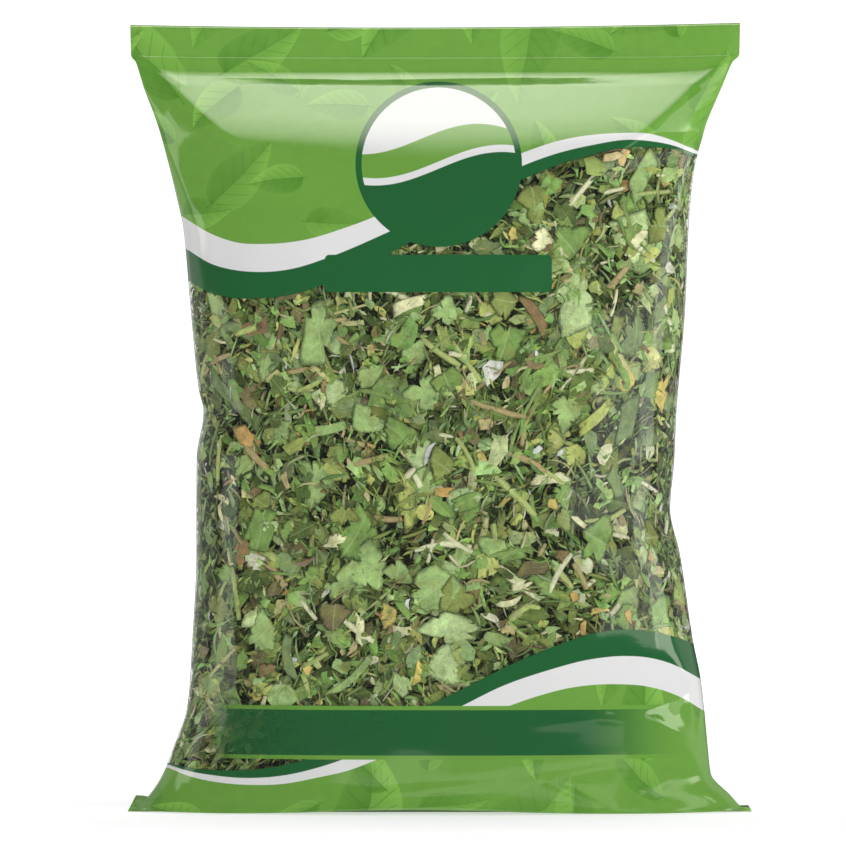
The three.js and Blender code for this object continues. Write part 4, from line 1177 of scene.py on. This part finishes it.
def leaf_material():
    """Dried leaf: its own colour, mottled and speckled, with painted light and shade that make it lighter
    on one side of the midrib, as a fold lit from one side, and lighter toward one end; with a midrib,
    slanted side veins, brown spots and a fine crinkle."""
    n = Nodes("dried_leaf")
    space = n.millimetres()
    u, v, strength = n.split(n.attribute("blade"))
    width = n.math("ABSOLUTE", u)
    comb = n.math("PINGPONG", n.times(n.line(width, 0.8, v), 3.2), 0.5)
    side_veins = n.times(n.remap(comb, 0.09, 0.02), 0.6)
    veins = n.times(n.math("MAXIMUM", n.remap(width, 0.07, 0.02), side_veins), strength)
    mottle = n.noise(space, 0.55, 4.0, 0.6)
    speckle = n.noise(space, 2.6, 3.0, 0.6)
    shade = n.plus(n.remap(mottle, 0.25, 0.75, 0.72, 1.12), n.remap(speckle, 0.3, 0.7, -0.1, 0.12))
    # Painted light and shade: one side of the midrib lighter than the other, and one end lighter than the
    # other.
    painted_fold_light = n.remap(u, -0.08, 0.08, -0.09, 0.09)
    painted_end_light = n.remap(v, -1.0, 1.0, -0.16, 0.16, False)
    patches = n.remap(n.noise(space, 0.17, 2.0), 0.35, 0.65, -0.14, 0.14)
    shade = n.plus(n.line(n.plus(painted_fold_light, painted_end_light), strength, shade), patches)
    colour = n.mix(1.0, n.attribute("tint", "Color"), n.join(shade, shade, shade), "MULTIPLY")
    yellowing = n.remap(n.noise(space, 0.21, 3.0), 0.48, 0.72, 0.0, 0.42)
    colour = n.mix(yellowing, colour, srgb(154, 156, 84))
    spots = n.remap(n.noise(space, 0.8, 2.0), 0.66, 0.74, 0.0, 0.55)
    colour = n.mix(spots, colour, srgb(104, 74, 48))
    colour = n.mix(n.times(veins, 0.5), colour, srgb(190, 206, 146))
    rough = n.remap(speckle, 0.3, 0.7, 0.62, 0.86)
    normal = n.bump(n.plus(mottle, n.times(speckle, 0.5), n.times(veins, 0.4)), 0.7, 0.35 * MM)
    leaf = {"Base Color": colour, "Roughness": rough, "Normal": normal, "Specular IOR Level": 0.3}
    return n.finish("BsdfPrincipled", leaf)


def stem_material():
    """Dried stem: its own colour in fine fibres along its length, with painted shade that darkens the
    grooves.
    """
    n = Nodes("dried_stem")
    space = n.millimetres()
    turn, along, _ = n.split(n.attribute("fibre"))
    stretched = n.join(n.times(turn, 14.0), n.times(along, 0.25))
    fibres = n.vector("ADD", stretched, n.vector("MULTIPLY", space, (0.1, 0.1, 0.1)))
    fibres = n.noise(fibres, 1.0, 3.0, 0.6)
    mottle = n.noise(space, 0.7, 3.0)
    # Painted shade: the fibres that make the grooves also darken the colour in them.
    shade = n.times(n.remap(fibres, 0.3, 0.7, 0.68, 1.1), n.remap(mottle, 0.3, 0.7, 0.85, 1.08))
    colour = n.mix(1.0, n.attribute("tint", "Color"), n.join(shade, shade, shade), "MULTIPLY")
    rough = n.remap(mottle, 0.3, 0.7, 0.5, 0.75)
    normal = n.bump(fibres, 0.6, 0.25 * MM)
    stem = {"Base Color": colour, "Roughness": rough, "Normal": normal, "Specular IOR Level": 0.35}
    return n.finish("BsdfPrincipled", stem)


def core_material():
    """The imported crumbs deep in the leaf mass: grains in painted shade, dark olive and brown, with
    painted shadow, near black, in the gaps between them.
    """
    n = Nodes("packed_crumbs_painted_shade")
    space = n.millimetres()
    grains = n.add("TexVoronoi", {"Vector": space, "Scale": 0.7}, feature="F1")
    away, random = grains.outputs["Distance"], n.split(grains.outputs["Color"])[0]
    # Painted shade: the crumbs are much darker than the leaf, for the shade deep in the mass, and near
    # black between grains.
    colour = n.mix(random, srgb(24, 30, 13), srgb(58, 66, 32))
    colour = n.mix(n.remap(n.noise(space, 0.5), 0.55, 0.7), colour, srgb(54, 45, 29))
    colour = n.mix(n.remap(away, 0.35, 0.7), colour, srgb(14, 15, 10))
    rough = n.remap(random, 0, 1, 0.8, 0.95)
    normal = n.bump(n.less(1.0, away), 1.0, 0.8 * MM)
    return n.finish("BsdfPrincipled", {"Base Color": colour, "Roughness": rough, "Normal": normal})


# The core's rows and columns, the depth of its dome and how soon it falls off below the top, and its
# lumps: how long they are, their seed and how high, and how far they may go out and in.
CORE_GRID = (110, 180)
DOME_DEPTH, DOME_FALL = 9, 2.2
CORE_LUMPS = [(7.0, 11, 0.6), (3.5, 12, 0.35)]
CORE_LUMP_LIMITS = (-1.2, 1.5)


def build_core():
    """The middle of the leaf mass: the tube drawn in, with lumps a few millimetres across, and at its top
    drawn in further to a dome."""
    rows, columns = CORE_GRID
    d = np.linspace(HEIGHT - CORE_TOP, D_FOOT, rows)[:, None]
    a = even_angles(columns)[None, :]
    inset = pressed(s_of(a), CORE_INSET) + DOME_DEPTH * np.exp((d[0] - d) / DOME_FALL)
    x, y, z = np.moveaxis(tube(d, a, inset), -1, 0)
    lumps = sum(crumple(x, y, z, length, seed) * high for length, seed, high in CORE_LUMPS)
    points = tube(d, a, inset + np.clip(lumps, *CORE_LUMP_LIMITS))
    faces = bag_faces(rows, columns)
    make_piece("leaf_core", points, faces, core_material(), ["leaf_fill"])


BIT_HEAPS = 4
BIT_CORNERS, FRAGMENT_CORNERS, LARGE_CORNERS = 7, 10, 48


def build_bits(settings, material):
    """Crushed bits a few millimetres across, in heaps: small torn leaves and shreds at every tilt, finer in
    some places and coarser in others, that lie roughly one way from place to place."""
    for heap in range(BIT_HEAPS):
        rng = np.random.default_rng(settings.seed + BIT_SEED + heap)
        count = settings.bits // BIT_HEAPS
        s, d = drawn_places(rng, count)
        length = settings.bit_size / MM * np.exp(rng.normal(0, 0.45, count) + 0.22 * coarseness(s, d))
        shape = rng.uniform(0, 1, count) ** 1.9
        size = np.stack([length * (0.2 + 0.65 * shape), length * (1.5 - 0.5 * shape)], -1)
        turn = lie(s, d) + rng.normal(0, 0.8, count)
        angles, rims = torn_rims(rng, count, BIT_CORNERS, 5, 0.4)
        inset = pressed(s, rng.uniform(0.6, 5.4, count))
        points, faces, local = leaves(
            s, d, size, turn, angles, rims, inset,
            tilt=rng.normal(0, 0.5, (count, 2)),
            curl=rng.normal(0, 0.3, count),
            fold=rng.normal(0, 0.42, count),
            sway=rng.normal(0, 0.2, count),
            thickness=rng.uniform(0.12, 0.3, count),
            least=pressed(s, rng.uniform(0.45, 1.1, count)),
            rings=1, rng=rng, rough=0.05,
        )
        name = f"leaf_bits_{heap + 1}"
        piece = make_piece(name, points, [faces], material, ["leaf_fill"], smooth=False)
        finish_leaves(piece, local, shaded(drawn_colours(rng, LEAF_COLOURS, count), inset), np.zeros(count))


def build_fragments(settings, material):
    """Torn pieces of leaf blade up to a centimetre across, folded a little along their midribs."""
    rng = np.random.default_rng(settings.seed + FRAGMENT_SEED)
    count = settings.fragments
    s, d = drawn_places(rng, count)
    length = settings.fragment_size / MM * np.exp(rng.normal(0, 0.38, count) + 0.14 * coarseness(s, d))
    size = np.stack([length * rng.uniform(0.35, 1.0, count), length], -1)
    turn = lie(s, d) + rng.normal(0, 1.1, count)
    angles, rims = torn_rims(rng, count, FRAGMENT_CORNERS, 6, 0.32)
    inset = pressed(s, rng.uniform(0.5, 2.6, count))
    points, faces, local = leaves(
        s, d, size, turn, angles, rims, inset,
        tilt=rng.normal(0, 0.16, (count, 2)),
        curl=rng.normal(0, 0.22, count),
        fold=rng.normal(0.05, 0.25, count),
        sway=rng.normal(0, 0.1, count),
        thickness=rng.uniform(0.12, 0.25, count),
        least=pressed(s, rng.uniform(0.35, 0.9, count)),
        rings=2, rng=rng, rough=0.022,
    )
    name = "leaf_fragments"
    piece = make_piece(name, points, [faces], material, ["leaf_fill"], smooth=False)
    colours = shaded(drawn_colours(rng, LEAF_COLOURS, count, 0.13), inset)
    finish_leaves(piece, local, colours, rng.uniform(0.1, 0.6, count))


def laid_rows(pieces, others):
    """The columns of a table of pieces of leaf or stem on either face and of others on the front."""
    others = [(FRONT, *row, colour) for colour, rows in others.items() for row in rows]
    return [list(column) for column in zip(*pieces, *others)]


def build_large_leaves(settings, material):
    """Large leaflets against the film, at the places of the CAD leaf pieces, and others between them."""
    rng = np.random.default_rng(settings.seed + LARGE_SEED)
    face, x, z, wide, tall, lean, colour = laid_rows(LEAF_PIECES, LAID_LEAVES)
    own, extra = len(face), settings.large_leaves
    count = own + extra
    extra_s, extra_d = drawn_places(rng, extra)
    s = np.concatenate([[s_at(*row) for row in zip(face, x, z)], extra_s])
    d = np.concatenate([HEIGHT - np.array(z, float), extra_d])
    extra_size = rng.uniform(8, 14, (extra, 1)) * rng.uniform(0.5, 1.0, (extra, 2))
    size = np.concatenate([np.stack([wide, tall], -1), extra_size])
    turn = np.concatenate([math.pi + np.array(lean), rng.uniform(0, FULL_TURN, extra)])
    angles, rims = serrated_rims(rng, count, LARGE_CORNERS, 4)
    narrow = size.min(1) < 0.5 * size.max(1)
    rims = np.where(narrow[:, None], blade_rims(rng, angles), rims)
    points, faces, local = leaves(
        s, d, size, turn, angles, rims,
        inset=np.concatenate([rng.uniform(0.3, 1.1, own), rng.uniform(0.5, 1.4, extra)]),
        tilt=rng.normal(0, 0.07, (count, 2)),
        curl=rng.normal(0, 0.1, count),
        fold=rng.normal(0.05, 0.13, count),
        sway=rng.normal(0, 0.1, count),
        thickness=np.full(count, 0.16),
        least=pressed(s, rng.uniform(0.25, 0.5, count)),
        rings=4, rng=rng, rough=0.003,
    )
    names = [f"leaf_piece_{i + 1:02d}" for i in range(len(LEAF_PIECES))]
    piece = make_piece("large_leaves", points, [faces], material, names)
    own_colours = np.array([LEAF_COLOURS[name][0] for name in colour])
    colours = np.concatenate([own_colours, drawn_colours(rng, LARGE_COLOURS, extra, 0.08)])
    finish_leaves(piece, local, colours, np.where(narrow, 0.25, 0.7))


def sticks(s, d, turn, length, across, inset, bend, tilt, rows, ring, flatness, taper, rng, least):
    """Sticks laid on the tube: an oval profile carried along a path whose middle is at s and d and goes on
    at the angle turn, bends by the square of its length and slopes in by its tilt."""
    count = len(s)
    t = np.linspace(-0.5, 0.5, rows)[None, :]
    along = t * length[:, None]
    side = bend[:, None] * (4 * t * t - 0.33) * length[:, None]
    direction = np.arctan2(8 * bend[:, None] * t, 1.0)[:, :, None]
    round_it = np.linspace(0, FULL_TURN, ring, endpoint=False)[None, None, :]
    thick = (1 - taper[:, None] * np.abs(2 * t) ** 2)[:, :, None] * across[:, None, None] / 2
    thick = thick * (1 + rng.normal(0, 0.08, (count, rows, ring)))
    wide, high = np.cos(round_it) * thick, thick * flatness[:, None, None]
    a = along[:, :, None] - wide * np.sin(direction)
    b = side[:, :, None] + wide * np.cos(direction)
    places = laid_out(s[:, None, None], d[:, None, None], a, b, turn[:, None, None])
    deep = (inset[:, None] + tilt[:, None] * along)[:, :, None]
    points = film_point(*places, np.maximum(deep, least + np.abs(high)) - np.sin(round_it) * high)
    fibre = np.stack(np.broadcast_arrays(round_it, along[:, :, None], np.zeros((1, 1, 1))), -1)
    return points, tube_faces(count, rows, ring), fibre


def finish_sticks(piece, fibre, colours):
    """Stores each stick's colour and the angle and length that its fibres follow."""
    add_values(piece, "tint", np.repeat(colours, fibre.shape[1] * fibre.shape[2], 0), "COLOR")
    add_values(piece, "fibre", fibre)


def build_stems(settings, material):
    """Cut stems against the film, at the places of the CAD stem pieces and others, and thinner ones among
    the leaf."""
    rng = np.random.default_rng(settings.seed + STEM_SEED)
    face, x, z, end_x, end_z, thick, colour = laid_rows(STEM_PIECES, LAID_STEMS)
    own, extra = len(face), settings.stems
    count = own + extra
    start_s, end_s = (np.array([s_at(*row) for row in zip(face, *at)]) for at in ((x, z), (end_x, end_z)))
    start_d, end_d = HEIGHT - np.array(z, float), HEIGHT - np.array(end_z, float)
    run_s, run_d = end_s - start_s, end_d - start_d
    extra_s, extra_d = drawn_places(rng, extra)
    s = np.concatenate([(start_s + end_s) / 2, extra_s])
    d = np.concatenate([(start_d + end_d) / 2, extra_d])
    turn = np.concatenate([np.arctan2(run_d, run_s), rng.uniform(0, math.pi, extra)])
    length = np.concatenate([np.hypot(run_s, run_d), 3.5 + 11 * rng.uniform(0, 1, extra) ** 2])
    across = np.concatenate([thick, rng.uniform(0.6, 1.8, extra)])
    points, faces, fibre = sticks(
        s, d, turn, length, across,
        inset=np.concatenate([0.4 + across[:own] / 2, rng.uniform(0.8, 2.2, extra)]),
        bend=rng.normal(0, 0.04, count),
        tilt=rng.normal(0, 0.05, count),
        rows=6, ring=6,
        flatness=rng.uniform(0.5, 0.95, count),
        taper=rng.uniform(0.0, 0.35, count),
        rng=rng, least=0.35,
    )
    names = [f"stem_piece_{i + 1:02d}" for i in range(len(STEM_PIECES))]
    piece = make_piece("cut_stems", points, faces, material, names)
    own_colours = np.array([STEM_COLOURS[name][0] for name in colour])
    finish_sticks(piece, fibre, np.concatenate([own_colours, drawn_colours(rng, STEM_COLOURS, extra, 0.1)]))


def build_threads(settings, material):
    """Thin curled strips of leaf and stalk all through the mass."""
    rng = np.random.default_rng(settings.seed + THREAD_SEED)
    count = settings.threads
    s, d = drawn_places(rng, count)
    inset = pressed(s, rng.uniform(0.6, 3.6, count))
    points, faces, fibre = sticks(
        s, d, lie(s, d) + rng.normal(math.pi / 2, 0.8, count),
        length=rng.uniform(2.5, 10, count),
        across=rng.uniform(0.3, 1.1, count),
        inset=inset,
        bend=rng.normal(0, 0.12, count),
        tilt=rng.normal(0, 0.16, count),
        rows=5, ring=4,
        flatness=rng.uniform(0.2, 0.5, count),
        taper=rng.uniform(0.4, 0.85, count),
        rng=rng, least=0.5,
    )
    piece = make_piece("leaf_threads", points, faces, material, ["leaf_fill"])
    finish_sticks(piece, fibre, shaded(drawn_colours(rng, THREAD_COLOURS, count), inset))


# ---------- The stage ----------
CAMERA_DISTANCE = 3.0
CAMERA_ELEVATION = math.radians(0.5)
CAMERA_AIM = Vector((-3.7, 0, 102)) * MM
CAMERA_CLIP = (0.05, 20)
VIEW_WIDTH, SENSOR = 0.2217, 36.0
FLOOR_REACH = 6.0
# How far from the bag its glow rises, in metres, and how much less a metre sideways counts for it.
GLOW_RISES = (0.15, 0.8)
GLOW_SIDEWAYS = 0.45
WHITE = (1, 1, 1, 1)
# Soft boxes: name, azimuth, elevation, distance, width, height, and what share of whose radiance.
SOFTBOXES = [
    ("overhead_softbox", 0, 64, 1.3, 2.2, 0.62, 1.0, "key"),
    ("front_softbox", 24, 4, 1.3, 0.6, 0.6, 1.0, "front"),
    ("right_softbox", 55, -2, 1.2, 0.9, 0.3, 1.6, "side"),
    ("left_softbox", -80, -8, 1.2, 0.34, 0.34, 1.9, "side"),
    ("floor_bounce", 12, -43, 1.2, 1.3, 0.26, 0.7, "side"),
    ("edge_softbox", 82, 1, 1.2, 0.34, 0.4, 4.0, "side"),
    ("back_overhead_softbox", 180, 62, 1.3, 1.6, 0.45, 0.6, "key"),
    ("back_softbox", 214, 4, 1.2, 0.5, 0.5, 1.0, "side"),
]
# The ones that the film's gloss doesn't show, and those whose strength rises from edge to edge.
NOT_MIRRORED = ("front_softbox",)
SOFTBOX_RISES = {"overhead_softbox": (0.0, 1.45)}
LIT_FROM = Vector((0, 0, 0.17))


def stage_material(name, settings):
    """Pale matt paper with a faint grain, that gives off more light farther from the bag, sooner before and
    behind it than at its sides."""
    n = Nodes(name)
    place = n.place()
    away = n.vector("LENGTH", n.vector("MULTIPLY", place, (GLOW_SIDEWAYS, 1, 0)))
    glow = n.remap(away, *GLOW_RISES, settings.glow, settings.far_glow)
    grain = n.noise(place, 90.0, 3.0)
    tone = n.mix(n.remap(grain, 0.3, 0.7, 0.0, 0.04), list(settings.floor), (0.8, 0.8, 0.8, 1))
    paper = {"Base Color": tone, "Roughness": 0.9, "Normal": n.bump(grain, 0.05, 0.2 * MM)}
    return n.finish("BsdfPrincipled", {**paper, "Emission Color": WHITE, "Emission Strength": glow})


def build_floor(settings):
    """A wide flat floor."""
    mesh = bpy.data.meshes.new("floor")
    corners = [(x * FLOOR_REACH, y * FLOOR_REACH, 0) for x, y in ((-1, -1), (1, -1), (1, 1), (-1, 1))]
    mesh.from_pydata(corners, [], [(0, 1, 2, 3)])
    mesh.materials.append(stage_material("pale_paper", settings))
    floor = bpy.data.objects.new("floor", mesh)
    floor.visible_glossy = False
    bpy.context.scene.collection.objects.link(floor)


def build_world(settings):
    """The even light all round: white to look at, dim in the film's gloss but for a band on either side
    behind the bag, and for all else brighter from behind than from before, where the soft boxes are."""
    n = Nodes("studio", bpy.data.worlds)
    ray = n.add("LightPath").outputs
    _, behind, height = n.split(n.place("Generated"))
    more = n.times(n.remap(behind, 0.0, 0.4), n.remap(height, 0.85, 0.6), settings.back_fill)
    flank = n.times(n.remap(behind, 0.0, 0.25), n.remap(behind, 0.9, 0.6), settings.back_gloss)
    more = n.remap(ray["Is Glossy Ray"], 0.0, 1.0, more, flank)
    strength = n.math("MAXIMUM", n.plus(more, settings.fill), ray["Is Camera Ray"])
    background = {"Color": WHITE, "Strength": strength}
    bpy.context.scene.world = n.finish("Background", background, "OutputWorld")


def add_softbox(name, azimuth, elevation, distance, width, height, radiance):
    """A rectangular light at that azimuth and elevation from the bag's shoulder, facing it. Its power is
    its radiance times pi times its area. Its strength may rise from its lower edge to its upper one."""
    data = bpy.data.lights.new(name, "AREA")
    data.shape = "RECTANGLE"
    data.size, data.size_y = width, height
    data.energy = radiance * math.pi * width * height
    data.use_nodes = True
    nodes, links = data.node_tree.nodes, data.node_tree.links
    split, rise = nodes.new("ShaderNodeSeparateXYZ"), nodes.new("ShaderNodeMapRange")
    links.new(nodes.new("ShaderNodeNewGeometry").outputs["Parametric"], split.inputs[0])
    links.new(split.outputs["Y"], rise.inputs["Value"])
    low, high = SOFTBOX_RISES.get(name, (1, 1))
    rise.inputs["To Min"].default_value, rise.inputs["To Max"].default_value = low, high
    links.new(rise.outputs["Result"], nodes["Emission"].inputs["Strength"])
    lamp = bpy.data.objects.new(name, data)
    lamp.visible_glossy = name not in NOT_MIRRORED
    a, e = math.radians(azimuth), math.radians(elevation)
    away = Vector((math.sin(a) * math.cos(e), -math.cos(a) * math.cos(e), math.sin(e)))
    place_facing(lamp, LIT_FROM, away, distance)


def place_facing(thing, target, away, distance):
    """Adds a light or a camera to the scene at a distance from its target, facing it."""
    thing.location = target + away * distance
    thing.rotation_mode = "QUATERNION"
    thing.rotation_quaternion = (-away).to_track_quat("-Z", "Y")
    bpy.context.scene.collection.objects.link(thing)


def build_stage(settings):
    """The pale floor, the even light all round, the soft boxes and the camera."""
    scene = bpy.context.scene
    build_floor(settings)
    build_world(settings)
    for name, *box, share, whose in SOFTBOXES:
        add_softbox(name, *box, getattr(settings, whose) * share)
    camera = bpy.data.objects.new("camera", bpy.data.cameras.new("camera"))
    camera.data.sensor_width = SENSOR
    camera.data.lens = SENSOR * CAMERA_DISTANCE / VIEW_WIDTH
    camera.data.clip_start, camera.data.clip_end = CAMERA_CLIP
    back = Vector((0, -math.cos(CAMERA_ELEVATION), math.sin(CAMERA_ELEVATION)))
    place_facing(camera, CAMERA_AIM, back, CAMERA_DISTANCE)
    scene.camera = camera
    scene.view_settings.view_transform = "Standard"


# ---------- The add-on ----------
def colour_property(name, description, default):
    return bpy.props.FloatVectorProperty(
        name=name, description=description, subtype="COLOR", size=4, min=0, max=1, default=default
    )


def amount_property(name, description, default, **options):
    return bpy.props.FloatProperty(name=name, description=description, default=default, min=0, **options)


def count_property(name, description, default, least):
    return bpy.props.IntProperty(name=name, description=description, default=default, min=least)


class LeafBagPrint(bpy.types.PropertyGroup):
    """Colours of the print and finish of the film."""

    green: colour_property("Green", "Ground colour of the print", srgb(108, 160, 64))
    dark_green: colour_property("Dark green", "Narrow bands, plate and the badge's rim", srgb(28, 96, 50))
    white: colour_property("White", "White bands and the badge", srgb(228, 228, 228))
    leaf_light: colour_property("Leaf, lit half", "Lit half of the printed leaves", srgb(138, 194, 84))
    leaf_dark: colour_property("Leaf, shaded half", "Their shaded half", srgb(70, 130, 36))
    roughness: amount_property("Roughness", "Roughness of the film", 0.09, max=1)
    reflection: amount_property("Reflection", "Share that clear film reflects head on", 0.08, max=1)
    haze: amount_property("Haze", "Share of light that clear film scatters", 0.006, max=1)
    ripple: amount_property("Ripple", "Depth of the film's fine ripple, in millimetres", 0.15)


class LeafBagFilling(bpy.types.PropertyGroup):
    """Amounts and sizes of the dried leaf."""

    seed: count_property("Seed", "Start of the random draws", 31, 0)
    bits: count_property("Bits", "Number of crushed bits", 32000, BIT_HEAPS)
    bit_size: amount_property("Bit size", "Usual length of a bit", 3.2 * MM, unit="LENGTH")
    fragments: count_property("Fragments", "Number of torn fragments", 1900, 1)
    fragment_size: amount_property("Fragment size", "Usual length of one", 6.8 * MM, unit="LENGTH")
    large_leaves: count_property("Large leaves", "Leaflets besides the ones laid by hand", 115, 0)
    stems: count_property("Stems", "Cut stems besides the ones laid by hand", 420, 0)
    threads: count_property("Threads", "Number of thin strips", 5200, 1)


class LeafBagStage(bpy.types.PropertyGroup):
    """The light and the floor."""

    floor: colour_property("Floor", "Colour of the floor", (0.62, 0.62, 0.62, 1))
    glow: amount_property("Glow", "Light that the floor gives off", 0.55)
    far_glow: amount_property("Far glow", "The same far from the bag", 1.06)
    fill: amount_property("Fill", "Strength of the even light", 0.08)
    back_fill: amount_property("Back fill", "How much more comes from behind", 1.1)
    back_gloss: amount_property("Back gloss", "What the film's gloss shows beside the back", 0.35)
    key: amount_property("Key", "Radiance of the soft box overhead", 2.45)
    front: amount_property("Front", "Radiance of the soft box in front", 7.15)
    side: amount_property("Side", "Radiance of the soft boxes at the sides", 0.45)


class LEAFBAG_OT_film(bpy.types.Operator):
    """Adds the tube of printed film with its lap seam and bottom seal"""

    bl_idname = "leaf_bag.film"
    bl_label = "Add Film"

    def execute(self, context):
        build_film(context.scene.leaf_bag_print)
        return {"FINISHED"}


class LEAFBAG_OT_core(bpy.types.Operator):
    """Adds the middle of the leaf mass"""

    bl_idname = "leaf_bag.core"
    bl_label = "Add Leaf Core"

    def execute(self, context):
        build_core()
        return {"FINISHED"}


class LEAFBAG_OT_leaves(bpy.types.Operator):
    """Adds the crushed bits, the torn fragments and the large leaves"""

    bl_idname = "leaf_bag.leaves"
    bl_label = "Add Leaves"

    def execute(self, context):
        settings = context.scene.leaf_bag_filling
        material = leaf_material()
        build_bits(settings, material)
        build_fragments(settings, material)
        build_large_leaves(settings, material)
        return {"FINISHED"}


class LEAFBAG_OT_stems(bpy.types.Operator):
    """Adds the cut stems and the thin strips"""

    bl_idname = "leaf_bag.stems"
    bl_label = "Add Stems and Threads"

    def execute(self, context):
        settings = context.scene.leaf_bag_filling
        material = stem_material()
        build_stems(settings, material)
        build_threads(settings, material)
        return {"FINISHED"}


class LEAFBAG_OT_stage(bpy.types.Operator):
    """Adds the floor, the lights and the camera"""

    bl_idname = "leaf_bag.stage"
    bl_label = "Add Stage"

    def execute(self, context):
        build_stage(context.scene.leaf_bag_stage)
        return {"FINISHED"}


OPERATORS = [LEAFBAG_OT_film, LEAFBAG_OT_core, LEAFBAG_OT_leaves, LEAFBAG_OT_stems, LEAFBAG_OT_stage]
GROUPS = {
    "leaf_bag_print": LeafBagPrint,
    "leaf_bag_filling": LeafBagFilling,
    "leaf_bag_stage": LeafBagStage,
}


class LEAFBAG_PT_panel(bpy.types.Panel):
    """Lists the bag's settings and its operators"""

    bl_idname = "LEAFBAG_PT_panel"
    bl_label = "Leaf Bag"
    bl_space_type = "VIEW_3D"
    bl_region_type = "UI"
    bl_category = "Leaf Bag"

    def draw(self, context):
        for name, group in GROUPS.items():
            box = self.layout.box()
            for key in group.__annotations__:
                box.prop(getattr(context.scene, name), key)
        for operator in OPERATORS:
            self.layout.operator(operator.bl_idname)


CLASSES = [*GROUPS.values(), *OPERATORS, LEAFBAG_PT_panel]


def register():
    for kind in CLASSES:
        bpy.utils.register_class(kind)
    for name, group in GROUPS.items():
        setattr(bpy.types.Scene, name, bpy.props.PointerProperty(type=group))


def unregister():
    for name in GROUPS:
        delattr(bpy.types.Scene, name)
    for kind in reversed(CLASSES):
        bpy.utils.unregister_class(kind)


def main():
    register()
    bpy.ops.leaf_bag.film()
    bpy.ops.leaf_bag.core()
    bpy.ops.leaf_bag.leaves()
    bpy.ops.leaf_bag.stems()
    bpy.ops.leaf_bag.stage()


if __name__ == "__main__":
    main()
